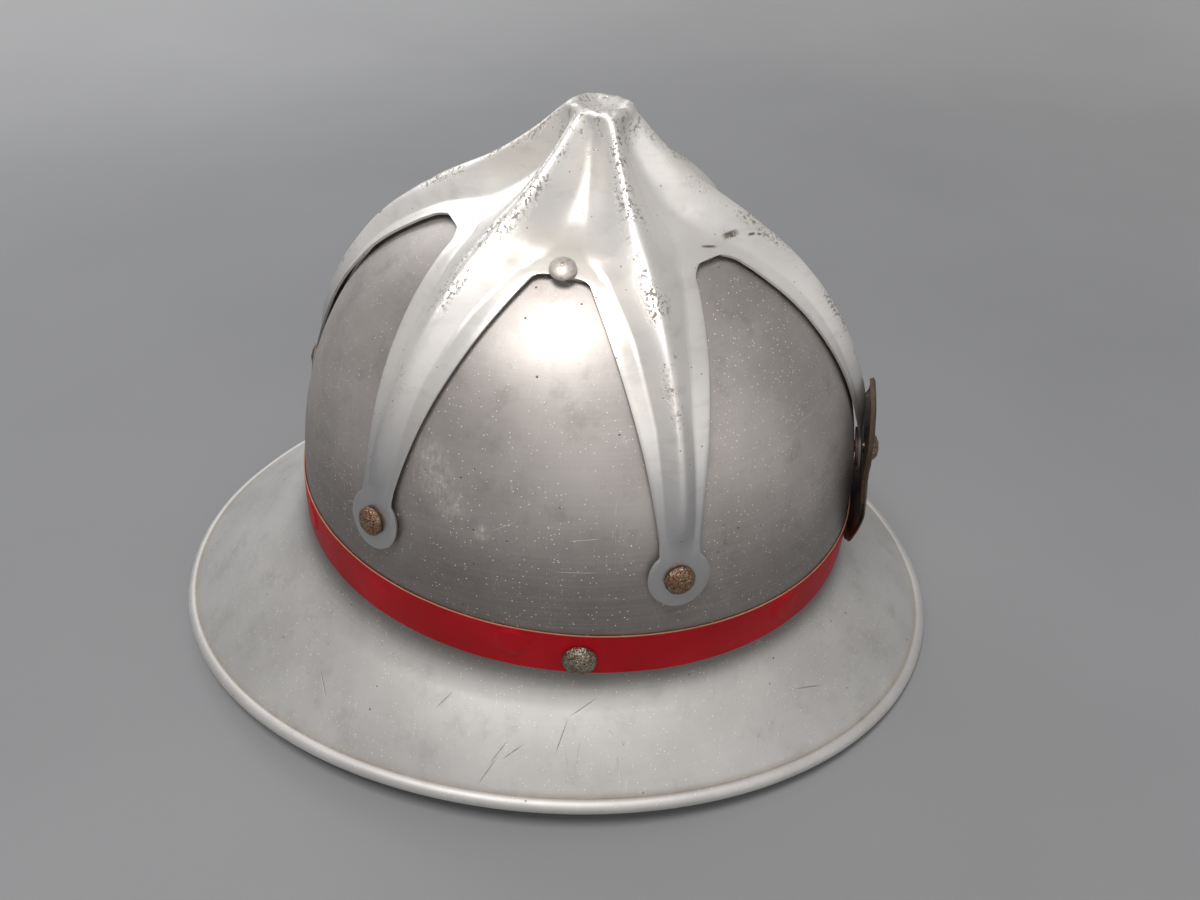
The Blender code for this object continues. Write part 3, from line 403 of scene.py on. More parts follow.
def turns_of(count):
    """Equal turns round a full circle."""
    return [2 * math.pi * c / count for c in range(count)]


def curve_through(points, between):
    """Points on a Catmull-Rom curve through tuples of numbers, with some steps between each pair."""
    line = []
    last = len(points) - 1
    for i in range(last):
        a = points[max(0, i - 1)]
        d = points[min(last, i + 2)]
        for step in range(between):
            t = step / between
            row = []
            for p0, p1, p2, p3 in zip(a, points[i], points[i + 1], d):
                bend = 2 * p0 - 5 * p1 + 4 * p2 - p3
                swing = 3 * p1 - p0 - 3 * p2 + p3
                row.append(0.5 * (2 * p1 + (p2 - p0) * t + bend * t * t + swing * t ** 3))
            line.append(tuple(row))
    line.append(tuple(points[last]))
    return line


def rounded_corners(corners, middle, radius, steps):
    """Points round a box, with an arc at each of its (place, place, first degree) corners."""
    path = []
    for first, second, start in corners:
        mid_first = first - math.copysign(radius, first - middle)
        mid_second = second - math.copysign(radius, second)
        for degrees in evenly(start, start + 90, steps):
            turn = math.radians(degrees)
            path.append((mid_first + radius * math.cos(turn), mid_second + radius * math.sin(turn)))
    return path


def dome_radius(height):
    """Half-length of the dome at a height above its foot."""
    if height <= 0:
        return DOME_HALF_LENGTH
    return DOME_HALF_LENGTH * max(0.0, 1 - (height / DOME_HEIGHT) ** HEIGHT_POWER) ** (1 / RADIUS_POWER)


def ring_point(angle, radius, height):
    """A point on the ellipse of that half-length."""
    return Vector((-DOME_WIDTH_RATIO * radius * math.sin(angle), -radius * math.cos(angle), height))


def dome_normal(angle, height):
    """Outward normal of the dome, from the gradient of its formula."""
    across = RADIUS_POWER * dome_radius(height) ** (RADIUS_POWER - 1) / DOME_HALF_LENGTH ** RADIUS_POWER
    up = 0.0
    if height > 0:
        up = HEIGHT_POWER * height ** (HEIGHT_POWER - 1) / DOME_HEIGHT ** HEIGHT_POWER
    return Vector((-across * math.sin(angle) / DOME_WIDTH_RATIO, -across * math.cos(angle), up)).normalized()


def dome_point(angle, height, offset=0.0):
    """A point that stands off the dome's outer face by an offset along its normal."""
    return ring_point(angle, dome_radius(height), height) + offset * dome_normal(angle, height)


def wave_at(wave, turn, height):
    """A slow wave round the dome, from (depth, scale round, scale up)."""
    depth, around, up = wave
    return depth * noise.noise(Vector((math.cos(turn) * around, math.sin(turn) * around, height * up)))


def dome_seat(angle, height):
    """Matrix of a place on the dome: local Z points outward and local X runs round the dome."""
    normal = dome_normal(angle, height)
    along = UP.cross(normal).normalized()
    turn = Matrix((along, normal.cross(along), normal)).transposed().to_4x4()
    return DOME_MATRIX @ Matrix.Translation(dome_point(angle, height)) @ turn


def turn_for(distance, angle, radius):
    """The angle that covers a distance round the ellipse at that place."""
    return distance / (radius * math.hypot(DOME_WIDTH_RATIO * math.cos(angle), math.sin(angle)))


# Mesh helpers
def grid_faces(bm, made, closed, skip=None):
    """Faces between rows of points; a row of one point closes to a fan."""
    for r, (upper, lower) in enumerate(zip(made, made[1:])):
        wide = max(len(upper), len(lower))
        for c in range(wide if closed else wide - 1):
            if skip and skip(r, c):
                continue
            n = (c + 1) % wide
            if len(upper) == 1:
                bm.faces.new((upper[0], lower[n], lower[c]))
            elif len(lower) == 1:
                bm.faces.new((upper[c], upper[n], lower[0]))
            else:
                bm.faces.new((upper[c], upper[n], lower[n], lower[c]))


def finish_mesh(bm, turn_out=False):
    """Turn a bmesh into a mesh without loose points, its faces turned outward if asked."""
    if turn_out:
        bmesh.ops.recalc_face_normals(bm, faces=bm.faces)
    bmesh.ops.delete(bm, geom=[vert for vert in bm.verts if not vert.link_faces], context="VERTS")
    mesh = bpy.data.meshes.new("skin")
    bm.to_mesh(mesh)
    bm.free()
    return mesh


def grid_mesh(rows, closed=False, skip=None, marks=None):
    """A sheet from rows of points, with optional point attributes worked out from row and column."""
    bm = bmesh.new()
    marks = marks or {}
    layers = {mark: bm.verts.layers.float.new(mark) for mark in marks}
    made = []
    for r, row in enumerate(rows):
        line = []
        for c, point in enumerate(row):
            vert = bm.verts.new(point)
            for mark, layer in layers.items():
                vert[layer] = marks[mark](r, c)
            line.append(vert)
        made.append(line)
    grid_faces(bm, made, closed, skip)
    return finish_mesh(bm)


def turned_mesh(profile, matrix, rough=0.0, seed=0.0):
    """A hammered body turned about local Z from (radius, height) points; a ring if the last is the first."""
    bm = bmesh.new()
    made = []
    for radius, height in profile:
        if made and (radius, height) == profile[0]:
            made.append(made[0])
            continue
        if radius == 0:
            made.append([bm.verts.new((0, 0, height))])
            continue
        line = []
        for turn in turns_of(ROUND_SIDES):
            point = Vector((-radius * math.sin(turn), -radius * math.cos(turn), height))
            wobble = rough * noise.noise(point * HAMMER_SCALE + Vector((seed, 0, 0)))
            line.append(bm.verts.new(point * (1 + wobble)))
        made.append(line)
    grid_faces(bm, made, True)
    bm.transform(matrix)
    return finish_mesh(bm, True)


def tubes_mesh(paths, radius, sides, closed):
    """Round wires along paths of points."""
    bm = bmesh.new()
    for points in paths:
        count = len(points)
        loops = []
        side = None
        for i, point in enumerate(points):
            before = points[(i - 1) % count] if closed or i else point
            after = points[(i + 1) % count] if closed or i < count - 1 else point
            along = (after - before).normalized()
            if side is None:
                side = along.orthogonal().normalized()
            side = (side - along * side.dot(along)).normalized()
            other = along.cross(side)
            ring = []
            for turn in turns_of(sides):
                ring.append(bm.verts.new(point + radius * (math.cos(turn) * side + math.sin(turn) * other)))
            loops.append(ring)
        if closed:
            loops.append(loops[0])
        grid_faces(bm, loops, True)
        if not closed:
            bm.faces.new(list(reversed(loops[0])))
            bm.faces.new(loops[-1])
    return finish_mesh(bm, True)


def piece(name, mesh, material, nodes, body="helmet", thickness=0.0, bevel=0.0):
    """Make a piece, give it its thickness and rounded edges, and set it in the frame."""
    mesh.name = name
    mesh.materials.append(material)
    item = bpy.data.objects.new(name, mesh)
    bpy.context.scene.collection.objects.link(item)
    if thickness:
        solid = item.modifiers.new("sheet", "SOLIDIFY")
        solid.thickness = thickness
        solid.offset = -1
        solid.use_even_offset = True
    if bevel:
        rounding = item.modifiers.new("edges", "BEVEL")
        rounding.width = bevel
        rounding.segments = 2
        rounding.limit_method = "ANGLE"
        rounding.angle_limit = BEVEL_ANGLE
    shaped = bpy.data.meshes.new_from_object(item.evaluated_get(bpy.context.evaluated_depsgraph_get()))
    item.modifiers.clear()
    item.data = shaped
    bpy.data.meshes.remove(mesh)
    shaped.shade_smooth()
    shaped.set_sharp_from_angle(angle=SHARP_FOLD)
    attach(item, body)
    if nodes:
        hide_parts(*nodes)


# Material helpers
class Tree:
    """Short names for building one material's nodes."""

    def __init__(self, name):
        self.material = bpy.data.materials.new(name)
        self.material.use_nodes = True
        self.nodes = self.material.node_tree.nodes
        self.links = self.material.node_tree.links
        self.shader = self.nodes["Principled BSDF"]
        self.place = self.node("TexCoord", "Object", {})

    def join(self, value, socket):
        """Link an output, or store a constant."""
        if isinstance(value, bpy.types.NodeSocket):
            self.links.new(value, socket)
        elif isinstance(value, tuple) and socket.type == "RGBA":
            socket.default_value = (*value, 1.0)
        else:
            socket.default_value = value

    def node(self, kind, output, inputs, **settings):
        """Add a node with its settings and inputs, and give one of its outputs."""
        node = self.nodes.new("ShaderNode" + kind)
        for setting, value in settings.items():
            setattr(node, setting, value)
        for socket, value in inputs.items():
            self.join(value, node.inputs[socket])
        return node.outputs[output]

    def finish(self, colour, gloss, metal, *bumps):
        """Set the shader, with bumps stacked as (height, strength, distance), and give the material."""
        for socket, value in (("Base Color", colour), ("Roughness", gloss), ("Metallic", metal)):
            self.join(value, self.shader.inputs[socket])
        normal = None
        for height, strength, distance in bumps:
            inputs = {"Height": height, "Strength": strength, "Distance": distance}
            if normal:
                inputs["Normal"] = normal
            normal = self.node("Bump", "Normal", inputs)
        if normal:
            self.links.new(normal, self.shader.inputs["Normal"])
        return self.material

    def stretch(self, x, y, z, turn=(0.0, 0.0, 0.0)):
        """Object coordinates, scaled and turned."""
        return self.node("Mapping", "Vector", {"Vector": self.place, "Scale": (x, y, z), "Rotation": turn})

    def noise(self, scale, detail=3.0, where=None, rough=0.55):
        """Noise value."""
        inputs = {"Vector": where or self.place, "Scale": scale, "Detail": detail, "Roughness": rough}
        return self.node("TexNoise", "Fac", inputs)

    def cells(self, scale, output="Distance"):
        """Voronoi cells."""
        return self.node("TexVoronoi", output, {"Vector": self.place, "Scale": scale})

    def mark(self, name):
        """A point attribute of the mesh."""
        return self.node("Attribute", "Fac", {}, attribute_name=name)

    def fade(self, value, low, high):
        """Map low..high to 0..1, clamped; low may be the larger."""
        inputs = {"Value": value, "From Min": low, "From Max": high}
        return self.node("MapRange", "Result", inputs, interpolation_type="SMOOTHSTEP")

    def span(self, value, low, high):
        """Map 0..1 to low..high."""
        return self.node("MapRange", "Result", {"Value": value, "To Min": low, "To Max": high})

    def math(self, operation, first, second):
        """One sum of two values."""
        return self.node("Math", "Value", {0: first, 1: second}, operation=operation)

    def times(self, *values):
        """Product of values."""
        result = values[0]
        for value in values[1:]:
            result = self.math("MULTIPLY", result, value)
        return result

    def plus(self, result, *parts):
        """A value with shares of others, as (value, share), added to it."""
        for part in parts:
            result = self.math("ADD", result, self.times(*part))
        return result

    def most(self, values):
        """The largest of several values."""
        result = values[0]
        for value in values[1:]:
            result = self.math("MAXIMUM", result, value)
        return result

    def mix(self, share, first, second):
        """Blend two colours."""
        return self.node("Mix", "Result", {"Factor": share, "A": first, "B": second}, data_type="RGBA")

    def coat(self, colour, *layers):
        """Lay other colours over a colour, each (colour, and the values whose product is its share)."""
        for paint, *shares in layers:
            colour = self.mix(self.times(*shares), colour, paint)
        return colour

    def vector(self, operation, first, second):
        """One sum of two vectors; a dot product and a distance come out as values."""
        output = "Value" if operation in ("DOT_PRODUCT", "DISTANCE") else "Vector"
        return self.node("VectorMath", output, {0: first, 1: second}, operation=operation)

    def near(self, spot, size):
        """1 at a place on the skin, fading to 0 at a distance from it."""
        return self.fade(self.vector("DISTANCE", self.place, tuple(spot)), size, 0.15 * size)

    def stroke(self, start, end, normal, width):
        """A thin straight line on the skin that faces a normal, worn away towards its ends."""
        run = end - start
        side = normal.cross(run).normalized()
        from_start = self.vector("SUBTRACT", self.place, tuple(start))
        across = self.math("ABSOLUTE", self.vector("DOT_PRODUCT", from_start, tuple(side)), 0.0)
        along = self.vector("DOT_PRODUCT", from_start, tuple(run / run.length_squared))
        ends = self.times(self.fade(along, -0.02, 0.3), self.fade(along, 1.02, 0.6))
        return self.times(self.fade(across, width, width * 0.4), ends)

    def gash(self, start, end, normal, width):
        """A stroke that shows only near its own place."""
        line = self.stroke(start, end, normal, width)
        return self.times(line, self.near(start.lerp(end, 0.5), (end - start).length))

    def dots(self, scale, size, core, few, all_from):
        """Round dots in some of the cells."""
        return self.times(self.fade(self.cells(scale), size, core),
                          self.fade(self.cells(scale, "Color"), few, all_from))

    def specks(self, scale, size, density):
        """Small round specks, more of them where the density is higher."""
        picked = self.plus(self.cells(scale, "Color"), (density, 0.3))
        return self.times(self.fade(self.cells(scale), size, 0.5 * size), self.fade(picked, 0.62, 0.66))

    def scratches(self, scale, turn, width):
        """Thin broken lines along one direction."""
        line = self.noise(scale, 1.0, self.stretch(1.0, 9.0, 1.0, turn), 0.4)
        thin = self.fade(self.math("ABSOLUTE", self.math("SUBTRACT", line, 0.5), 0.0), width, width * 0.25)
        return self.times(thin, self.fade(self.noise(scale * 1.7, 2.0), 0.54, 0.66))


# Materials
def shell_material():
    """Satin aluminium: spun lines, bright specks painted white as glints, rubbed places, scratches, a dirty
    seam by the bead, a darker fillet, painted shade at the dome's foot and a painted highlight on the bead.
    """
    t = Tree("worn_shell_aluminium")
    brim = t.mark("brim")
    speck = t.mark("speck")
    cloud = t.noise(22, 4.0)
    stain = t.noise(70, 5.0, None, 0.7)
    spun = t.noise(1.0, 2.0, t.stretch(10, 10, 1100))
    fine = t.noise(1.0, 2.0, t.stretch(60, 60, 3600))
    density = t.times(t.fade(t.noise(26, 3.0), 0.3, 0.6), speck, t.span(brim, 1.0, 0.35))
    # Specks in the metal, painted near-white so that they stand in for glints; a finer layer follows
    spot = t.specks(760, 0.18, density)
    fine_glint_specks = t.specks(1200, 0.17, density)
    pit = t.dots(170, 0.085, 0.045, 0.6, 0.7)
    grime = t.times(t.mark("seam"), t.span(t.noise(160, 3.0), 0.35, 1.0))
    places = []
    for degrees, height, size, strength in RUBS_DEG_MM:
        middle = DOME_MATRIX @ dome_point(math.radians(degrees), height * MM)
        places.append(t.times(t.near(middle, RUB_SPREAD * size * MM), strength))
    streak = t.fade(t.noise(1.0, 4.0, t.stretch(620, 620, 200), 0.75), 0.3, 0.74)
    rub = t.times(t.most(places), streak)
    lines = []
    for (from_deg, from_mm), (to_deg, to_mm) in SCRAPES_DEG_MM:
        start = DOME_MATRIX @ dome_point(math.radians(from_deg), from_mm * MM)
        end = DOME_MATRIX @ dome_point(math.radians(to_deg), to_mm * MM)
        normal = dome_normal(math.radians((from_deg + to_deg) / 2), from_mm * MM)
        lines.append(t.gash(start, end, normal, SCRAPE_WIDTH))
    scrape = t.times(t.most(lines), t.span(t.noise(700, 2.0), 0.2, 1.0))
    lines = []
    for start, end in SCRATCHES_MM:
        lines.append(t.stroke(Vector((*start, 0)) * MM, Vector((*end, 0)) * MM, UP, SCRATCH_WIDTH))
    stroke = t.times(t.most(lines), brim, t.span(t.noise(500, 2.0), 0.3, 1.0))
    dome = t.mix(t.fade(cloud, 0.32, 0.7), (0.435, 0.40, 0.38), (0.555, 0.52, 0.495))
    dome = t.coat(dome, ((0.30, 0.28, 0.26), t.fade(stain, 0.5, 0.74), 0.45),
                  # painted shade: the dome coloured darker towards its foot, mottled by the stain noise
                  ((0.19, 0.172, 0.158), t.mark("foot"), t.span(stain, 0.75, 1.0)))
    pale = t.mix(t.fade(cloud, 0.3, 0.7), (0.55, 0.54, 0.525), (0.64, 0.63, 0.615))
    pale = t.coat(pale, ((0.42, 0.41, 0.39), t.fade(stain, 0.48, 0.75), 0.45))
    colour = t.coat(t.mix(brim, dome, pale),
                    ((0.74, 0.72, 0.70), t.fade(spun, 0.46, 0.68), 0.06),
                    # painted glints: two layers of specks coloured near-white
                    ((0.95, 0.94, 0.91), spot, 0.9),
                    ((0.9, 0.89, 0.86), fine_glint_specks, 0.5),
                    ((0.10, 0.095, 0.09), pit, 0.85),
                    ((0.84, 0.82, 0.8), t.scratches(46, (0.3, 0.9, 0.2), 0.004), 0.5),
                    ((0.2, 0.19, 0.18), t.scratches(30, (1.1, 0.2, 0.9), 0.003), 0.55),
                    ((0.82, 0.8, 0.78), t.scratches(35, (0.0, 0.1, 0.05), 0.004), 0.3),
                    ((0.84, 0.81, 0.77), rub, 0.65),
                    ((0.85, 0.82, 0.78), scrape, 0.8),
                    ((0.16, 0.14, 0.125), stroke, 0.75),
                    # painted highlight: the rolled bead coloured lighter
                    ((0.72, 0.705, 0.68), t.mark("bead"), 0.3),
                    ((0.34, 0.28, 0.20), grime, 0.6),
                    # darker colour in the fillet under the band
                    ((0.26, 0.24, 0.22), t.mark("fillet"), t.span(stain, 0.3, 0.95)))
    metal = t.plus(t.span(brim, 0.96, 0.82), (spot, -0.8), (speck, -0.22), (rub, -0.4))
    gloss = t.plus(t.span(t.noise(48, 4.0), 0.44, 0.60), (brim, 0.08), (grime, 0.25))
    return t.finish(colour, gloss, metal, (cloud, 0.22, 0.0012), (spun, 0.07, 0.0001), (fine, 0.05, 0.00005),
                    (spot, 0.4, 0.00012), (pit, 0.5, -0.0003), (stroke, 0.6, -0.0002),
                    (scrape, 0.5, -0.0001), (rub, 0.3, 0.0001))


def star_material():
    """Bright silvered aluminium with chips along the ridges, a worn top and painted shade on the lower arms.
    """
    t = Tree("chipped_star_aluminium")
    crown = t.mark("crown")
    low = t.mark("low")
    cloud = t.noise(26, 4.0)
    smear = t.fade(t.noise(1.0, 4.0, t.stretch(70, 70, 240), 0.65), 0.5, 0.74)
    flake = t.fade(t.noise(800, 4.0, None, 0.65), 0.52, 0.57)
    patch = t.times(t.fade(t.mark("ridge"), 0.6, 0.9), t.fade(t.noise(75, 3.0), 0.44, 0.58))
    top = t.times(t.fade(crown, 0.15, 0.8), t.fade(t.noise(300, 3.0), 0.45, 0.6))
    nick = t.dots(300, 0.11, 0.07, 0.64, 0.72)
    chip = t.most((t.times(flake, t.most((patch, top))), t.times(nick, 0.9)))
    lines = []
    for start, end, normal, half in STAR_CHIPS_MM:
        lines.append(t.gash(Vector(start) * MM, Vector(end) * MM, Vector(normal), half * MM))
    gash = t.times(t.most(lines), t.fade(t.noise(900, 3.0), 0.28, 0.42))
    rubbed = t.times(t.fade(crown, 0.4, 0.95), t.span(t.noise(260, 4.0), 0.2, 1.0))
    brushed = t.noise(1.0, 2.0, t.stretch(320, 320, 70))
    colour = t.mix(t.fade(cloud, 0.35, 0.68), (0.74, 0.72, 0.69), (0.84, 0.825, 0.80))
    colour = t.coat(colour, ((0.82, 0.755, 0.655), t.fade(t.noise(17, 2.0), 0.48, 0.68), 0.45),
                    ((0.52, 0.5, 0.49), smear, 0.35),
                    # painted shade: the lower arms coloured darker
                    ((0.40, 0.40, 0.41), low, t.span(cloud, 0.65, 0.95)),
                    ((0.22, 0.195, 0.16), chip, 0.85),
                    ((0.20, 0.165, 0.13), gash),
                    ((0.47, 0.455, 0.42), rubbed, 0.6),
                    ((0.5, 0.49, 0.47), t.mark("edge"), 0.3))
    gloss = t.plus(t.span(t.noise(60, 4.0), 0.31, 0.42), (chip, 0.3), (rubbed, 0.15))
    return t.finish(colour, gloss, t.span(low, 0.52, 0.9), (cloud, 0.25, 0.0015),
                    (t.noise(75, 3.0), 0.2, 0.0006), (brushed, 0.06, 0.0001), (chip, 0.6, -0.00022),
                    (rubbed, 0.5, 0.0005), (gash, 0.6, -0.0003))


def rust_material(name, pale, brown, dark, share):
    """Old rivet steel, pitted and part rusted, with bright grains painted in as glints."""
    t = Tree(name)
    rust = t.fade(t.noise(420, 6.0, None, 0.75), share - 0.1, share + 0.1)
    pitted = t.fade(t.cells(1000), 0.1, 0.55)
    crust = t.noise(1300, 5.0, None, 0.7)
    # Bright dots painted in as glints, all over the head
    grain = t.dots(1500, 0.26, 0.13, 0.6, 0.7)
    colour = t.coat(t.mix(rust, pale, brown), (dark, t.fade(crust, 0.46, 0.58), 0.8),
                    ((0.86, 0.80, 0.70), grain, 0.85))
    return t.finish(colour, t.span(crust, 0.2, 0.62), t.span(rust, 0.9, 0.6),
                    (t.noise(700, 5.0), 0.6, 0.0007), (pitted, 0.6, 0.0004), (grain, 0.5, 0.0002))


def band_material():
    """Red tape with a faded upper edge."""
    t = Tree("aged_red_tape")
    scuff = t.times(t.fade(t.noise(240, 5.0, None, 0.7), 0.64, 0.74), t.fade(t.noise(18, 2.0), 0.56, 0.66))
    lip = t.times(t.mark("lip"), t.span(t.noise(300, 3.0), 0.3, 1.0))
    colour = t.mix(t.fade(t.noise(30, 4.0), 0.35, 0.7), (0.315, 0.002, 0.007), (0.415, 0.004, 0.011))
    colour = t.coat(colour, ((0.62, 0.36, 0.33), scuff, 0.5), ((0.42, 0.35, 0.22), lip, 0.8))
    t.shader.inputs["Specular IOR Level"].default_value = 0.16
    return t.finish(colour, t.span(t.noise(80, 3.0), 0.42, 0.56), 0.0, (t.noise(90, 2.0), 0.2, 0.0004),
                    (t.noise(900, 2.0), 0.12, 0.0001), (scuff, 0.3, -0.0001))


def bronze_material():
    """Dark badge plate: brown patina, worn along the rim."""
    t = Tree("badge_patina")
    cloud = t.noise(60, 5.0, None, 0.7)
    bare = t.times(t.fade(t.mark("rim"), 0.4, 0.9), t.fade(t.noise(150, 4.0), 0.42, 0.62))
    colour = t.mix(t.fade(cloud, 0.35, 0.68), (0.075, 0.055, 0.04), (0.17, 0.125, 0.085))
    colour = t.coat(colour, ((0.10, 0.085, 0.06), t.fade(t.noise(230, 4.0), 0.55, 0.68), 0.6),
                    ((0.42, 0.31, 0.19), bare, 0.75))
    return t.finish(colour, t.span(t.noise(110, 4.0), 0.36, 0.6), 0.85, (t.noise(300, 4.0), 0.4, 0.0004),
                    (t.cells(520), 0.25, 0.0003))


def shaded(colour, share):
    """A darker or lighter colour."""
    return tuple(min(1.0, share * channel) for channel in colour)


def plated_material(name, colour, metal, smoothest, roughest):
    """Dull plated steel with small tarnish spots."""
    t = Tree(name)
    spots = t.fade(t.noise(380, 5.0, None, 0.7), 0.5, 0.68)
    base = t.coat(colour, (shaded(colour, 0.55), spots, 0.7),
                  ((0.22, 0.14, 0.08), t.fade(t.noise(700, 4.0), 0.6, 0.7), 0.6))
    return t.finish(base, t.span(t.noise(240, 4.0), smoothest, roughest), metal,
                    (t.noise(420, 4.0), 0.3, 0.0002), (spots, 0.2, -0.0001))


def leather_material(name, dark, light):
    """Worn leather: grain, creases, darker sweat stains and rubbed edges."""
    t = Tree(name)
    cloud = t.noise(38, 4.0)
    grain = t.cells(1250)
    crease = t.noise(300, 5.0, None, 0.65)
    rubbed = t.times(t.mark("rub"), t.span(t.noise(200, 3.0), 0.3, 1.0))
    colour = t.coat(t.mix(t.fade(cloud, 0.32, 0.7), dark, light),
                    (shaded(dark, 0.45), t.fade(grain, 0.36, 0.1), 0.35),
                    (shaded(dark, 0.45), t.fade(t.noise(90, 4.0), 0.55, 0.7), 0.55),
                    (shaded(light, 1.9), rubbed, 0.5))
    return t.finish(colour, t.span(crease, 0.45, 0.75), 0.0, (cloud, 0.3, 0.0012), (crease, 0.35, 0.0004),
                    (grain, 0.45, 0.00022))


def matt_material(name, dark, light, scale, relief):
    """Fibre, thread or cotton: matt, with a fine tooth."""
    t = Tree(name)
    colour = t.mix(t.fade(t.noise(scale, 4.0, None, 0.7), 0.35, 0.65), dark, light)
    gloss = t.span(t.noise(scale * 0.5, 3.0), 0.75, 0.92)
    return t.finish(colour, gloss, 0.0, (t.noise(scale * 1.6, 4.0), 0.5, relief))


# Shell
def brim_lift(angle):
    """Height of the brim's edge above the floor: flat at front and rear, raised at the sides."""
    start = math.sin(BRIM_FLAT_ANGLE) ** 2
    return BRIM_SIDE_RISE * max(0.0, (math.sin(angle) ** 2 - start) / (1 - start))


def bead_point(angle, degrees):
    """A point of the rolled edge's section."""
    reach = Vector((-math.sin(angle) / BRIM_HALF_WIDTH, -math.cos(angle) / BRIM_HALF_LENGTH, 0)).normalized()
    edge = Vector((-BRIM_HALF_WIDTH * math.sin(angle), -BRIM_HALF_LENGTH * math.cos(angle), 0))
    foot = BEAD_RADIUS * math.sin(math.radians(BEAD_FOOT))
    centre = edge - BEAD_RADIUS * reach + (foot + brim_lift(angle)) * UP
    turn = math.radians(degrees)
    point = centre + BEAD_RADIUS * (math.cos(turn) * reach + math.sin(turn) * UP)
    point.z = max(point.z, brim_lift(angle))
    return point


def brim_point(angle, share):
    """A point on the brim from the dome's foot (0) to the rolled edge (1)."""
    foot = DOME_MATRIX @ dome_point(angle, 0)
    corner = foot - FILLET_DROP * (DOME_MATRIX.to_3x3() @ UP)
    edge = bead_point(angle, BEAD_START)
    end = corner.lerp(edge, FILLET_SHARE)
    if share <= FILLET_SHARE:
        t = share / FILLET_SHARE
        return foot.lerp(corner, t).lerp(corner.lerp(end, t), t)
    t = (share - FILLET_SHARE) / (1 - FILLET_SHARE)
    point = end.lerp(edge, t)
    groove = BEAD_GROOVE * math.exp(-((1 - t) / BEAD_GROOVE_SHARE) ** 2)
    swell = BRIM_CROWN + BRIM_BEATEN * noise.noise(point * BRIM_BEATEN_SCALE)
    return point + (swell * math.sin(math.pi * t) - groove) * UP


def make_shell(material):
    """Dome, brim and rolled edge as one pressing."""
    turns = turns_of(SHELL_COLUMNS)
    rows = [[DOME_MATRIX @ Vector((0, 0, DOME_HEIGHT))]]
    zones = [(0.0, 0.0, 0.0, 0.0, 0.0)]
    for swing in evenly(0, math.pi / 2, DOME_ROWS)[1:]:
        radius = DOME_HALF_LENGTH * math.sin(swing) ** (2 / RADIUS_POWER)
        height = DOME_HEIGHT * max(0.0, math.cos(swing)) ** (2 / HEIGHT_POWER)
        beaten = DOME_BEATEN * min(1.0, height / DOME_BEATEN_FROM)
        row = []
        for turn in turns:
            spot = ring_point(turn, radius, height)
            lift = beaten * noise.noise(spot * DOME_BEATEN_SCALE)
            row.append(DOME_MATRIX @ (spot + lift * spot.normalized()))
        rows.append(row)
        # The foot mark sets where the dome's colour gets painted shade, darker towards its foot
        zones.append((0.0, 0.0, FOOT_PAINTED_SHADE * smooth_step((FOOT_SHADE_TOP - height) / FOOT_SHADE_FADE), 0.0, 0.0))
    for share in evenly(0, 1, BRIM_ROWS)[1:]:
        rows.append([brim_point(turn, share) for turn in turns])
        seam = math.exp(-((1 - share) / SEAM_SHARE) ** 2)
        # Darker colour in the fillet under the band, fading out across the brim
        fillet = FILLET_DARKENING * smooth_step((FILLET_DARKENING_END - share) / FILLET_DARKENING_FADE)
        zones.append((smooth_step(share / BRIM_FADE), seam, FOOT_PAINTED_SHADE, fillet, 0.0))
    for r, degrees in enumerate(evenly(BEAD_START, BEAD_END, BEAD_ROWS)[1:], 1):
        rows.append([bead_point(turn, degrees) for turn in turns])
        rolled = min(1.0, r / BEAD_FADE_ROWS)
        # The bead mark sets where the rolled edge is coloured lighter as a painted highlight
        zones.append((1.0, BEAD_SEAM * (1 - rolled), 0.0, 0.0, rolled))

    def speck_at(r, c):
        """How thick the bright specks lie: most on the front-right panel."""
        if r > DOME_ROWS:
            return SPECK_BRIM
        away = math.degrees(turns[c]) - SPECK_MIDDLE_DEG
        return SPECK_LEAST + (1 - SPECK_LEAST) * math.exp(-(away / SPECK_SPREAD_DEG) ** 2)

    def zone_at(index):
        """Reader of one of the zones' values."""
        return lambda r, c: zones[r][index]

    marks = {name: zone_at(index) for index, name in enumerate(("brim", "seam", "foot", "fillet", "bead"))}
    marks["speck"] = speck_at
    mesh = grid_mesh(rows, True, None, marks)
    piece("shell_skin", mesh, material, ["shell"], thickness=SHEET)


# Crown star
def star_angle(turn):
    """The dome's angle for a turn in plan, so that the arms stand evenly apart seen from above."""
    angle = math.atan2(math.sin(turn), DOME_WIDTH_RATIO * math.cos(turn))
    return angle + 2 * math.pi * round((turn - angle) / (2 * math.pi))


def arm_half_width(height):
    """Half the width of an arm, and of its round tab, over that height of the dome."""
    rise = height - TAB_HEIGHT
    tab = math.sqrt(max(0.0, TAB_RADIUS ** 2 - rise ** 2))
    if rise <= 0:
        return max(tab, TAB_TIP)
    inward = 1 - (dome_radius(min(height, DOME_HEIGHT)) / ARM_END_RADIUS) ** ARM_WIDENING_POWER
    return max(ARM_END_HALF + ARM_WIDENING * inward, ARM_END_HALF, tab)


def arm_guides():
    """Lines along an arm: (ridge radius, ridge height, flange radius, flange height, dome height)."""
    guides = []
    crown_rows = len(CROWN_RIDGE_MM)
    for index in range(crown_rows):
        over = ARM_HEIGHTS_MM[0] + CROWN_HEIGHT_STEP * (crown_rows - index)
        numbers = (*CROWN_RIDGE_MM[index], *CROWN_VALLEY_MM[index], over)
        guides.append(tuple(number * MM for number in numbers))
    for height in [value * MM for value in ARM_HEIGHTS_MM]:
        flange = ramp(FLANGE_OFFSET_MM, height)
        high = dome_point(0, height, max(flange, ramp(RIDGE_OFFSET_MM, height)))
        low = dome_point(0, height, flange)
        guides.append((-high.y, high.z, -low.y, low.z, height))
    return guides


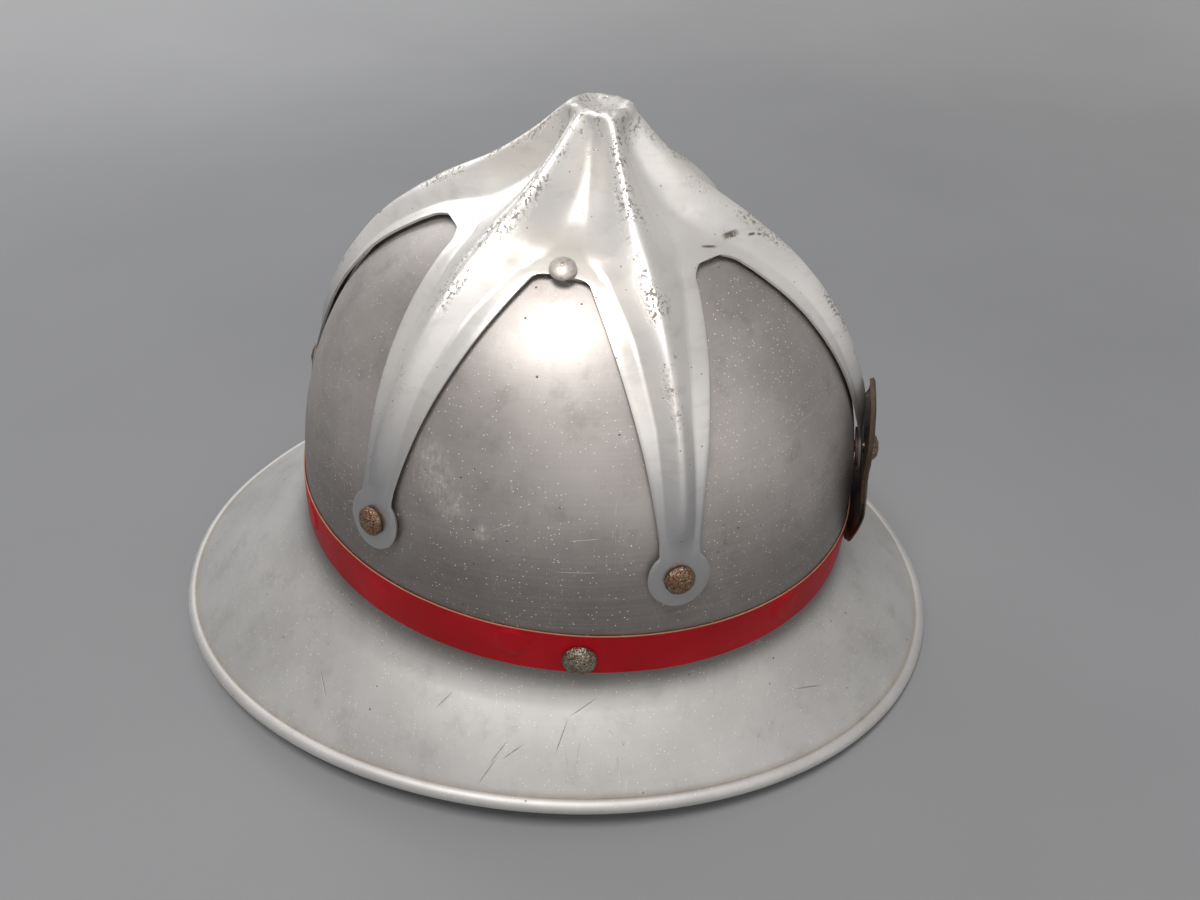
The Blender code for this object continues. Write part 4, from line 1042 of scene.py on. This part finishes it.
def arm_edge(arm, gap, radius, height):
    """Distance from an arm's middle to its edge, if that is an opening's, and how far up the web it is."""
    middle = star_angle(arm * ARM_STEP)
    span = abs(star_angle((gap + 0.5) * ARM_STEP) - middle)
    full = span / turn_for(1, middle, radius)
    top, flat, corner = SIDE_OPENING if gap % ARM_COUNT in SIDE_GAPS else OPENING
    if height >= top:
        return full, False, smooth_step((height - top) / WEB_RISE)
    fall = math.hypot(dome_radius(height) - dome_radius(top), top - height)
    bend = math.sqrt(1 - (1 - min(1.0, fall / corner)) ** 2)
    room = full - min(full, arm_half_width(height))
    return full - room * (flat + (1 - flat) * bend), True, 0.0


def half_section(edge, height, web):
    """Places from the ridge out to one edge: distance, and share of the ridge's height."""
    narrow = min(ramp(RIDGE_FOOT_MM, height), FLANGE_FROM * min(edge, arm_half_width(height)))
    foot = narrow + web * (WEB_FOOT * edge - narrow)
    power = ARM_FLANK + web * (WEB_FLANK - ARM_FLANK)
    crest = CREST_ROUND + web * (WEB_CREST_ROUND - CREST_ROUND)
    full = math.hypot(foot, crest) - crest
    places = []
    for place in evenly(0, foot, FLANK_STEPS)[1:]:
        fallen = (math.hypot(place, crest) - crest) / full
        places.append((place, max(0.0, 1 - fallen) ** power))
    return places + [(place, 0.0) for place in evenly(foot, edge, FLANGE_STEPS)[1:]]


def star_rows(arm):
    """Rows along one arm of (point, marks), with which edges are open."""
    middle = star_angle(arm * ARM_STEP)
    rows = []
    for ridge_r, ridge_h, low_r, low_h, over in curve_through(arm_guides(), ROWS_BETWEEN):
        before, open_before, web_before = arm_edge(arm, arm - 1, low_r, over)
        after, open_after, web_after = arm_edge(arm, arm, low_r, over)
        left = [(-place, level) for place, level in reversed(half_section(before, over, web_before))]
        section = left + [(0.0, 1.0)] + half_section(after, over, web_after)
        # How far down the arm this row is: the material paints shade there and makes it more metallic
        low = smooth_step((LOW_ARM - over) / LOW_ARM_FADE)
        raised = smooth_step((ridge_h - low_h) / RIDGE_WEAR_RISE)
        row = []
        for c, (place, level) in enumerate(section):
            on_edge = (c == 0 and open_before) or (c == len(section) - 1 and open_after)
            radius = low_r + level * (ridge_r - low_r)
            height = low_h + level * (ridge_h - low_h)
            if on_edge:
                radius -= EDGE_ROLL
            point = ring_point(middle + turn_for(place, middle, low_r), radius, height)
            crown = 1 - smooth_step((radius - CROWN_WEAR_FROM) / CROWN_WEAR_FADE)
            row.append((point, (level * raised, crown, 1.0 if on_edge else 0.0, low)))
        rows.append((row, open_before, open_after))
    return rows


def make_star(material):
    """The star as one sheet: arms share their edges down to the top of each opening."""
    bm = bmesh.new()
    layers = [bm.verts.layers.float.new(mark) for mark in ("ridge", "crown", "edge", "low")]

    def add(point, *marks):
        """One point with its marks, on the tipped dome, with a beaten skin."""
        beaten = STAR_BEATEN * noise.noise(point * STAR_BEATEN_SCALE)
        vert = bm.verts.new(DOME_MATRIX @ (point * (1 + beaten / max(point.length, MM))))
        for layer, mark in zip(layers, marks):
            vert[layer] = mark
        return vert

    arms = []
    for arm in range(ARM_COUNT):
        made = []
        for r, (row, open_before, open_after) in enumerate(star_rows(arm)):
            last = len(row) - 1
            line = []
            for c, (point, marks) in enumerate(row):
                if c == 0 and arm > 0 and not open_before:
                    line.append(arms[-1][r][last])
                elif c == last and arm == ARM_COUNT - 1 and not open_after:
                    line.append(arms[0][r][0])
                else:
                    line.append(add(point, *marks))
            made.append(line)
        arms.append(made)
    for made in arms:
        grid_faces(bm, made, False)
    rim = [vert for made in arms for vert in made[0][:-1]]
    spots = [DOME_MATRIX.inverted() @ vert.co for vert in rim]
    cap = [[add(Vector((0, 0, CROWN_CAP_MM[0][1] * MM)), 0.0, 1.0, 0.0, 0.0)]]
    for radius, height in CROWN_CAP_MM[1:]:
        ring = []
        for outer in spots:
            turn = math.atan2(-outer.x / DOME_WIDTH_RATIO, -outer.y)
            spot = ring_point(turn, radius * MM, height * MM)
            coarse, fine = [noise.noise(spot * scale) for scale in CROWN_LUMP_SCALES]
            spot.z += CROWN_LUMP * (coarse + 0.5 * fine) * min(1.0, radius / CROWN_LUMP_FROM)
            ring.append(add(spot, 0.0, 1.0, 0.0, 0.0))
        cap.append(ring)
    cap.append(rim)
    grid_faces(bm, cap, True)
    piece("star_skin", finish_mesh(bm), material, ["crown_star"], thickness=STAR_SHEET)


# Rivets and washers
def rivet_profile(head, rise, seat, shank, tail_seat, tail, tail_rise):
    """Domed head with a rounded lip, shank and closed tail."""
    points = [(0, seat + rise)]
    for turn in evenly(0, math.pi / 2, RIVET_HEAD_STEPS)[1:]:
        points.append((head * math.sin(turn), seat + RIVET_LIP + (rise - RIVET_LIP) * math.cos(turn)))
    points += [(head - RIVET_UNDERCUT, seat), (shank, seat), (shank, tail_seat), (tail, tail_seat)]
    for turn in evenly(0, math.pi / 2, RIVET_TAIL_STEPS)[:-1]:
        share = RIVET_TAIL_WALL + (1 - RIVET_TAIL_WALL) * math.sin(turn)
        points.append((tail * math.cos(turn), tail_seat - tail_rise * share))
    return points + [(0, tail_seat - tail_rise)]


def washer_profile(hole, radius, low, high):
    """Section of a washer with its outer edges taken off."""
    return [(hole, low), (hole, high), (radius - GAP, high), (radius, high - GAP), (radius, low + GAP),
            (radius - GAP, low), (hole, low)]


def make_star_fixings(rust, plated, fibre):
    """A rivet and a washer at each tab, and a rivet above each side opening."""
    tail = (STAR_SHANK, -SHEET - 3 * GAP, STAR_TAIL, STAR_TAIL_RISE)
    over_badge = ramp(BADGE_OFFSET_MM, TAB_HEIGHT) + 2 * GAP
    washer = washer_profile(STAR_SHANK + GAP, SPACER_RADIUS, GAP, SPACER_TOP)
    for arm, name in enumerate(ARM_NAMES):
        matrix = dome_seat(star_angle(arm * ARM_STEP), TAB_HEIGHT)
        seat = over_badge if name == "front" else TAB_OFFSET + GAP
        profile = rivet_profile(STAR_HEAD, STAR_HEAD_RISE, seat, *tail)
        mesh = turned_mesh(profile, matrix, OLD_HAMMER, arm * 7.0)
        piece("tab_rivet_" + name, mesh, rust, ["star_rivet_" + name])
        piece("tab_washer_" + name, turned_mesh(washer, matrix), fibre, ["star_spacer_" + name])
    profile = []
    for share in evenly(0, 1, DIMPLE_STEPS)[:-1]:
        sunk = DIMPLE_DEPTH * (1 - share ** 2)
        profile.append((DIMPLE_RADIUS * share, CROWN_SEAT + CROWN_HEAD_RISE - sunk))
    profile += rivet_profile(CROWN_HEAD, CROWN_HEAD_RISE, CROWN_SEAT, *tail)[1:]
    for side, sign in SIDES:
        matrix = dome_seat(-sign * math.pi / 2, CROWN_RIVET_HEIGHT)
        mesh = turned_mesh(profile, matrix, CROWN_HAMMER, 3.0)
        piece("side_rivet_" + side, mesh, plated, ["crown_rivet_" + side])


# Band and badge
def make_band(material):
    """Tape round the foot of the dome, lifted over the flush rivets behind it."""
    rivets = [dome_point(math.radians(degrees), LINER_RIVET_HEIGHT) for degrees in LINER_ANGLES_DEG]
    rows = []
    for r in range(BAND_ROWS + 1):
        share = max(0.0, r - 1 + BAND_LIP) / (BAND_ROWS - 1 + BAND_LIP)
        height = BAND_TO + (BAND_FROM - BAND_TO) * share
        row = []
        for turn in turns_of(BAND_COLUMNS):
            away = min((dome_point(turn, height) - rivet).length for rivet in rivets)
            lift = BUMP_RISE * smooth_step((BUMP_RADIUS - away) / BUMP_EDGE)
            offset = BAND_OUTER + lift + wave_at(BAND_WAVE, turn, height)
            row.append(DOME_MATRIX @ dome_point(turn, height, offset))
        rows.append(row)
    mesh = grid_mesh(rows, True, None, {"lip": lambda r, c: 1.0 if r == 0 else 0.0})
    piece("band_tape", mesh, material, ["red_band"], thickness=BAND_SHEET)


def make_badge(material):
    """Bare shield plate with a raised rim, bent round the front of the dome."""
    shares = evenly(-1, 1, BADGE_STEPS)
    levels = evenly(1, 0, BADGE_STEPS)

    def rim_at(r, c):
        """Nearness to the plate's edge: 1 on the raised rim."""
        gap = min(1 - abs(shares[c]), BADGE_ENDS * levels[r], BADGE_ENDS * (1 - levels[r]))
        raised = smooth_step((BADGE_RIM_WIDTH - gap) / BADGE_RIM_FADE)
        return raised - BADGE_RIM_FALL * smooth_step((BADGE_RIM_ROUND - gap) / BADGE_RIM_ROUND)

    rows = []
    for r, level in enumerate(levels):
        row = []
        for c, share in enumerate(shares):
            bottom = BADGE_POINT + BADGE_SIDE_RISE * abs(share) ** BADGE_SIDE_POWER
            top = BADGE_SIDE_TOP + BADGE_PEAK * (1 - abs(share))
            height = bottom + level * (top - bottom)
            across = share * BADGE_HALF_WIDTH
            centre = dome_point(0, height, ramp(BADGE_OFFSET_MM, height))
            lift = BADGE_RIM * (rim_at(r, c) - BADGE_RIM_BASE)
            row.append(DOME_MATRIX @ (centre + Vector((-across, across ** 2 / (2 * BADGE_BEND) - lift, 0))))
        rows.append(row)
    mesh = grid_mesh(rows, False, None, {"rim": rim_at})
    piece("badge_shield", mesh, material, ["badge_plate"],
          thickness=BADGE_SHEET - BADGE_RIM_SHEET * BADGE_RIM)


# Liner
def make_hoop(material):
    """Metal hoop that the leather hangs from."""
    turns = turns_of(HOOP_COLUMNS)
    rows = []
    for height in evenly(HOOP_TO, HOOP_FROM, HOOP_ROWS):
        rows.append([DOME_MATRIX @ dome_point(turn, height, HOOP_OUTER) for turn in turns])
    piece("hoop_strip", grid_mesh(rows, True), material, ["liner_hoop"], thickness=HOOP_SHEET)


def edge_rub(last):
    """Mark of rubbed leather near the first and last rows."""
    return {"rub": lambda r, c: max(0.0, 1 - 1.2 * min(r, last - r))}


def make_sweatband(leather, thread):
    """Leather band inside the hoop, sewn along both edges."""
    rows = []
    for height in evenly(SWEATBAND_TO, SWEATBAND_FROM, SWEATBAND_ROWS):
        row = []
        for turn in turns_of(SWEATBAND_COLUMNS):
            offset = SWEATBAND_OUTER - abs(wave_at(SWEATBAND_WAVE, turn, height))
            row.append(DOME_MATRIX @ dome_point(turn, height, offset))
        rows.append(row)
    mesh = grid_mesh(rows, True, None, edge_rub(SWEATBAND_ROWS))
    piece("sweatband_leather", mesh, leather, ["sweatband"], thickness=SWEATBAND_SHEET,
          bevel=SWEATBAND_BEVEL)
    inner = SWEATBAND_OUTER - SWEATBAND_SHEET - BAND_STITCH_RISE
    stitches = []
    for height in (SWEATBAND_TO - STITCH_INSET, SWEATBAND_FROM + STITCH_INSET):
        radius = dome_radius(height)
        for turn in turns_of(int(2 * math.pi * radius / STITCH_STEP)):
            full = turn_for(STITCH_LENGTH, turn, radius)
            stitches.append([DOME_MATRIX @ dome_point(turn + share * full, height, inner + out * MM)
                             for share, out in BAND_STITCH_MM])
    mesh = tubes_mesh(stitches, STITCH_RADIUS, STITCH_SIDES, False)
    piece("sweatband_stitches", mesh, thread, [])


def tongue_rows(middle):
    """Rows of one leather tongue, from the hoop up and in to its loop round the lace."""
    guides = []
    for height_mm, half_mm in TONGUE_WALL_MM:
        spot = dome_point(0, height_mm * MM, TONGUE_INNER)
        guides.append((-spot.y, spot.z, half_mm * MM))
    guides += [(r * MM, h * MM, half * MM) for r, h, half in TONGUE_FREE_MM]
    guides.append((LACE_RADIUS + LOOP_CLEAR, LACE_HEIGHT + LOOP_RADIUS, LOOP_HALF_WIDTH))
    line = curve_through(guides, TONGUE_ROWS_BETWEEN)
    for turn in [math.radians(degrees) for degrees in LOOP_ANGLES]:
        radius = LACE_RADIUS + LOOP_RADIUS * math.cos(turn)
        line.append((radius, LACE_HEIGHT + LOOP_RADIUS * math.sin(turn), LOOP_HALF_WIDTH))
    rows = []
    for radius, height, half in line:
        turns = [turn_for(share * half, middle, radius) for share in evenly(-1, 1, 2 * TONGUE_HALF_COLUMNS)]
        rows.append([DOME_MATRIX @ ring_point(middle + turn, radius, height) for turn in turns])
    return rows


def make_liner(leather, plated, fibre, cotton):
    """Hoop, sweatband, and at each fixing a rivet, a spacer and a tongue."""
    make_hoop(plated)
    make_sweatband(leather, cotton)
    head = [(0, LINER_SHANK_TOP), (LINER_SHANK, LINER_SHANK_TOP), (LINER_SHANK, LINER_HEAD_SEAT)]
    for turn in evenly(0, math.pi / 2, LINER_HEAD_STEPS)[:-1]:
        head.append((LINER_HEAD * math.cos(turn), LINER_HEAD_SEAT - LINER_HEAD_RISE * math.sin(turn)))
    head.append((0, LINER_HEAD_SEAT - LINER_HEAD_RISE))
    tube = washer_profile(LINER_SHANK + GAP, LINER_SPACER_RADIUS, HOOP_OUTER + GAP, SPACER_OUTER_END)
    rub = {"rub": lambda r, c: 1.0 if c in (0, 2 * TONGUE_HALF_COLUMNS) else 0.0}
    for name, degrees in zip(LINER_NAMES, LINER_ANGLES_DEG):
        middle = math.radians(degrees)
        matrix = dome_seat(middle, LINER_RIVET_HEIGHT)
        rivet = turned_mesh(head, matrix, NEW_HAMMER, degrees)
        piece("band_rivet_" + name, rivet, plated, ["liner_rivet_" + name])
        piece("band_spacer_" + name, turned_mesh(tube, matrix), fibre, ["liner_spacer_" + name])
        mesh = grid_mesh(tongue_rows(middle), False, None, rub)
        piece("tongue_leather_" + name, mesh, leather, ["liner_tongue_" + name],
              thickness=TONGUE_SHEET, bevel=TONGUE_BEVEL)
    strands = []
    for strand in range(LACE_STRANDS):
        points = []
        for turn in turns_of(LACE_TURNS * LACE_STEPS):
            twist = LACE_TURNS * turn + 2 * math.pi * strand / LACE_STRANDS
            radius = LACE_RADIUS + LACE_LAY * math.cos(twist)
            points.append(DOME_MATRIX @ ring_point(turn, radius, LACE_HEIGHT + LACE_LAY * math.sin(twist)))
        strands.append(points)
    mesh = tubes_mesh(strands, LACE_STRAND, LACE_SIDES, True)
    piece("lace_cord", mesh, cotton, ["crown_lace"])


# Chin strap
def stud_seat(sign):
    """Matrix of a strap stud: local Z points out of the helmet's side."""
    place = Vector((sign * BUCKLE_PLANE, PIVOT.y, PIVOT.z))
    return Matrix.Translation(place) @ Matrix.Rotation(sign * math.pi / 2, 4, "Y")


def hanger_rows(sign):
    """Rows of a hanger plate, from behind the band rivet down to a round end below the stud."""
    middle = -sign * STRAP_ANGLE
    tilt = DOME_MATRIX.to_3x3()
    along = -(tilt @ UP).cross(tilt @ dome_normal(middle, 0)).normalized()
    back = Vector((0, -sign, 0))
    stud = Vector((sign * HANGER_FACE, PIVOT.y, PIVOT.z))
    guides = []
    for height in HANGER_HEIGHTS_MM:
        guides.append((DOME_MATRIX @ dome_point(middle, height * MM, HANGER_OFFSET), along, HANGER_HALF))
    for drop in HANGER_DROPS_MM:
        guides.append((stud - drop * MM * UP, back, HANGER_HALF))
    for turn in [math.radians(degrees) for degrees in HANGER_END_DEG]:
        guides.append((stud - HANGER_HALF * math.sin(turn) * UP, back, HANGER_HALF * math.cos(turn)))
    shares = evenly(-1, 1, 2 * HANGER_HALF_COLUMNS)
    return [[centre + share * half * across for share in shares] for centre, across, half in guides]


def make_strap_fixings(rust, plated):
    """Band rivets, hanger plates and the studs that the strap turns on."""
    rivet = rivet_profile(STRAP_HEAD, STRAP_HEAD_RISE, BAND_OUTER + GAP, STRAP_SHANK,
                          HANGER_OFFSET - HANGER_SHEET - GAP, STRAP_TAIL, STRAP_TAIL_RISE)
    stud = rivet_profile(STUD_HEAD, STUD_HEAD_RISE, GAP / 3, STUD_SHANK,
                         STRAP_FACE - BUCKLE_PLANE - STRAP_SHEET - GAP, STUD_HEAD, STUD_TAIL_RISE)
    for side, sign in SIDES:
        mesh = turned_mesh(rivet, dome_seat(-sign * STRAP_ANGLE, STRAP_RIVET_HEIGHT), OLD_HAMMER, sign * 5.0)
        piece("chin_rivet_" + side, mesh, rust, ["strap_rivet_" + side])
        mesh = turned_mesh(stud, stud_seat(sign), NEW_HAMMER, sign)
        piece("chin_stud_" + side, mesh, plated, ["strap_stud_" + side])
        piece("chin_hanger_" + side, grid_mesh(hanger_rows(sign)), plated,
              ["strap_hanger_" + side], thickness=HANGER_SHEET, bevel=TRIM_BEVEL)


def long_strap_line():
    """The long strap's outer face as (side, along, half-width), from the right stud round to its tail."""
    line = [(-STRAP_FACE, at * MM, half * MM) for at, half in STRAP_END_MM]
    line.append((-STRAP_FACE, STRAP_STRAIGHT / 2, STRAP_HALF))
    for turn in evenly(0, math.pi, STRAP_LOOP_STEPS):
        along = STRAP_STRAIGHT + STRAP_LOOP_DEPTH * math.sin(turn)
        line.append((-STRAP_FACE * math.cos(turn), along, STRAP_HALF))
    tail = [(BUCKLE_PLANE + side * MM, along * MM, STRAP_HALF) for along, side in STRAP_TAIL_MM]
    return line + curve_through(tail, STRAP_TAIL_BETWEEN)


def strap_piece(name, rows, skip, leather, node):
    """A strap from rows of points in the strap's frame, rubbed along both edges."""
    rows = [[STRAP_MATRIX @ Vector(point) for point in row] for row in rows]
    last = len(rows[0]) - 1
    mesh = grid_mesh(rows, False, skip, {"rub": lambda r, c: 1.0 if min(c, last - c) < 2 else 0.0})
    piece(name, mesh, leather, [node], "chin_strap", STRAP_SHEET, STRAP_BEVEL)


def make_long_strap(leather, thread):
    """Strap from the right stud round the chin to the buckle near the left stud, sewn along its edges."""
    line = long_strap_line()
    slot = SLOT_HALF / STRAP_HALF
    shares = (-1, -0.97, -0.8, -0.5, -slot, slot, 0.5, 0.8, 0.97, 1)

    def slotted(r, c):
        """True for faces that the tongue's slot takes out."""
        return shares[c] == -slot and line[r][0] > 0 and SLOT_FROM < line[r][1] < SLOT_TO

    rows = [[(x, along, share * half) for share in shares] for x, along, half in line]
    strap_piece("long_strap_leather", rows, slotted, leather, "chin_strap_long")
    places = [Vector((x, along, 0)) for x, along, _ in line[STRAP_STITCH_FIRST:1 - STRAP_STITCH_LAST]]
    stitches = []
    for here, there in zip(places, places[1:]):
        along = (there - here).normalized()
        out = Vector((-along.y, along.x, 0))
        for edge in (-1, 1):
            middle = here.lerp(there, 0.5) + edge * (STRAP_HALF - STRAP_STITCH_INSET) * UP
            middle += STRAP_STITCH_RISE * out
            stitches.append([STRAP_MATRIX @ (middle + share * STITCH_LENGTH * along + rise * MM * out)
                             for share, rise in STRAP_STITCH_MM])
    mesh = tubes_mesh(stitches, STRAP_STITCH_RADIUS, STITCH_SIDES, False)
    piece("long_strap_stitches", mesh, thread, [], "chin_strap")


def make_short_strap(leather):
    """Strap from the left stud to its loop round the buckle's heel bar, notched for the tongue."""
    places = [(at * MM, -SHORT_LOOP, half * MM) for at, half in STRAP_END_MM]
    notch_row = len(places)
    places.append((SHORT_NOTCH_FROM, -SHORT_LOOP, STRAP_HALF))
    for degrees in evenly(-90, SHORT_LOOP_TURN - 90, SHORT_LOOP_STEPS):
        turn = math.radians(degrees)
        places.append((HEEL_BAR + SHORT_LOOP * math.cos(turn), SHORT_LOOP * math.sin(turn), STRAP_HALF))
    notch = SHORT_NOTCH / STRAP_HALF
    shares = (1, 0.95, 0.6, notch, -notch, -0.6, -0.95, -1)
    rows = [[(BUCKLE_PLANE + side, along, share * half) for share in shares] for along, side, half in places]
    strap_piece("short_strap_leather", rows, lambda r, c: shares[c] == notch and r >= notch_row, leather,
                "chin_strap_short")


def make_buckle(plated, leather):
    """Wire frame, tongue on the heel bar, and the leather keeper."""
    corners = ((FAR_BAR, FRAME_HALF, 0), (HEEL_BAR, FRAME_HALF, 90), (HEEL_BAR, -FRAME_HALF, 180),
               (FAR_BAR, -FRAME_HALF, 270))
    path = []
    for along, across in rounded_corners(corners, (HEEL_BAR + FAR_BAR) / 2, FRAME_CORNER, FRAME_CORNER_STEPS):
        path.append(STRAP_MATRIX @ Vector((BUCKLE_PLANE, along, across)))
    mesh = tubes_mesh([path], FRAME_WIRE, FRAME_SIDES, True)
    piece("buckle_wire", mesh, plated, ["buckle_frame"], "chin_strap")
    heel = STRAP_MATRIX @ Matrix.Translation((BUCKLE_PLANE, HEEL_BAR, 0))
    wire = []
    for degrees in evenly(*TONGUE_EYE_DEG, TONGUE_EYE_STEPS):
        turn = math.radians(degrees)
        wire.append(heel @ Vector((TONGUE_EYE * math.sin(turn), TONGUE_EYE * math.cos(turn), 0)))
    for reach in TONGUE_REACHES_MM:
        wire.append(heel @ Vector((TONGUE_EYE, reach * MM, 0)))
    mesh = tubes_mesh([wire], TONGUE_WIRE, TONGUE_SIDES, False)
    piece("buckle_prong", mesh, plated, ["buckle_tongue"], "buckle_tongue")
    inner = BUCKLE_PLANE + KEEPER_INNER_SIDE
    outer = BUCKLE_PLANE + KEEPER_OUTER_SIDE
    corners = ((outer, -KEEPER_HALF, -90), (outer, KEEPER_HALF, 0), (inner, KEEPER_HALF, 90),
               (inner, -KEEPER_HALF, 180))
    section = rounded_corners(corners, BUCKLE_PLANE, KEEPER_CORNER, KEEPER_STEPS)
    rows = []
    for along in evenly(KEEPER_FROM, KEEPER_TO, KEEPER_STEPS):
        rows.append([STRAP_MATRIX @ Vector((x, along, across)) for x, across in section])
    mesh = grid_mesh(rows, True, None, edge_rub(KEEPER_STEPS))
    piece("keeper_leather", mesh, leather, ["strap_keeper"], "chin_strap", KEEPER_SHEET,
          TRIM_BEVEL)


# Stage
def make_stage():
    """A grey floor that curves up to a paler backdrop all round."""
    t = Tree("studio_grey")
    grain = t.fade(t.noise(3.0, 3.0), 0.3, 0.7)
    wall = t.mix(grain, (0.56, 0.56, 0.565), (0.59, 0.59, 0.595))
    ground = t.mix(grain, (0.245, 0.25, 0.26), (0.265, 0.27, 0.28))
    material = t.finish(t.mix(t.near((0, 0, 0), STAGE_FADE), wall, ground), 0.85, 0.0)
    profile = [(STAGE_HOLE, 0.0), (STAGE_FLAT / 2, 0.0), (STAGE_FLAT, 0.0)]
    for turn in evenly(0, math.pi / 2, STAGE_STEPS)[1:]:
        profile.append((STAGE_FLAT + STAGE_BEND * math.sin(turn), STAGE_BEND * (1 - math.cos(turn))))
    profile.append((STAGE_FLAT + STAGE_BEND, STAGE_TOP))
    turns = turns_of(STAGE_SIDES)
    rows = []
    for reach, height in profile:
        rows.append([(reach * math.cos(turn), reach * math.sin(turn), height) for turn in turns])
    mesh = grid_mesh(rows, True)
    mesh.name = "studio_floor"
    mesh.materials.append(material)
    mesh.shade_smooth()
    floor = bpy.data.objects.new("studio_floor", mesh)
    bpy.context.scene.collection.objects.link(floor)


def make_light():
    """Soft rectangular lamps overhead, by the camera, in front and behind, in a dim even world."""
    for name, place, size, power, colour in LAMPS:
        data = bpy.data.lights.new(name, "AREA")
        data.shape = "RECTANGLE"
        data.size, data.size_y = size
        data.energy = power
        data.color = colour
        item = bpy.data.objects.new(name, data)
        item.location = place
        item.rotation_euler = (LAMP_TARGET - Vector(place)).to_track_quat("-Z", "Y").to_euler()
        bpy.context.scene.collection.objects.link(item)
    world = bpy.data.worlds.new("studio_world")
    world.use_nodes = True
    background = world.node_tree.nodes["Background"]
    background.inputs["Color"].default_value = WORLD_COLOUR
    background.inputs["Strength"].default_value = WORLD_STRENGTH
    bpy.context.scene.world = world


def make_camera():
    """Camera at the photograph's place."""
    data = bpy.data.cameras.new("photo_camera")
    data.lens = CAMERA_LENS
    data.sensor_width = SENSOR_WIDTH
    data.clip_start = CAMERA_CLIP
    item = bpy.data.objects.new("photo_camera", data)
    right = CAMERA_FORWARD.cross(CAMERA_UP)
    turn = Matrix((right, CAMERA_UP, -CAMERA_FORWARD)).transposed().to_4x4()
    item.matrix_world = Matrix.Translation(CAMERA_PLACE) @ turn
    bpy.context.scene.collection.objects.link(item)
    bpy.context.scene.camera = item


def main():
    """Dress the helmet and set the stage."""
    plated = plated_material("dull_plated_steel", (0.56, 0.53, 0.5), 1.0, 0.28, 0.5)
    matt_plated = plated_material("matt_crown_rivet", (0.60, 0.55, 0.51), 0.7, 0.42, 0.55)
    tab_rust = rust_material("rusted_tab_rivet", (0.36, 0.27, 0.19), (0.22, 0.11, 0.06),
                             (0.06, 0.034, 0.02), 0.46)
    chin_rust = rust_material("dull_chin_rivet", (0.34, 0.33, 0.27), (0.19, 0.11, 0.06),
                              (0.06, 0.042, 0.026), 0.52)
    fibre = matt_material("fibre_washer", (0.08, 0.05, 0.035), (0.15, 0.09, 0.06), 700, 0.0003)
    cotton = matt_material("cotton_thread", (0.40, 0.34, 0.25), (0.58, 0.51, 0.39), 1500, 0.0002)
    liner_leather = leather_material("liner_leather", (0.13, 0.058, 0.027), (0.24, 0.115, 0.058))
    strap_leather = leather_material("strap_leather", (0.045, 0.024, 0.014), (0.095, 0.05, 0.03))
    make_camera()
    make_light()
    make_stage()
    make_shell(shell_material())
    make_star(star_material())
    make_star_fixings(tab_rust, matt_plated, fibre)
    make_band(band_material())
    make_badge(bronze_material())
    make_liner(liner_leather, plated, fibre, cotton)
    make_strap_fixings(chin_rust, plated)
    make_long_strap(strap_leather, cotton)
    make_short_strap(strap_leather)
    make_buckle(plated, strap_leather)


main()
view = bpy.context.scene.view_settings
view.view_transform = "Standard"
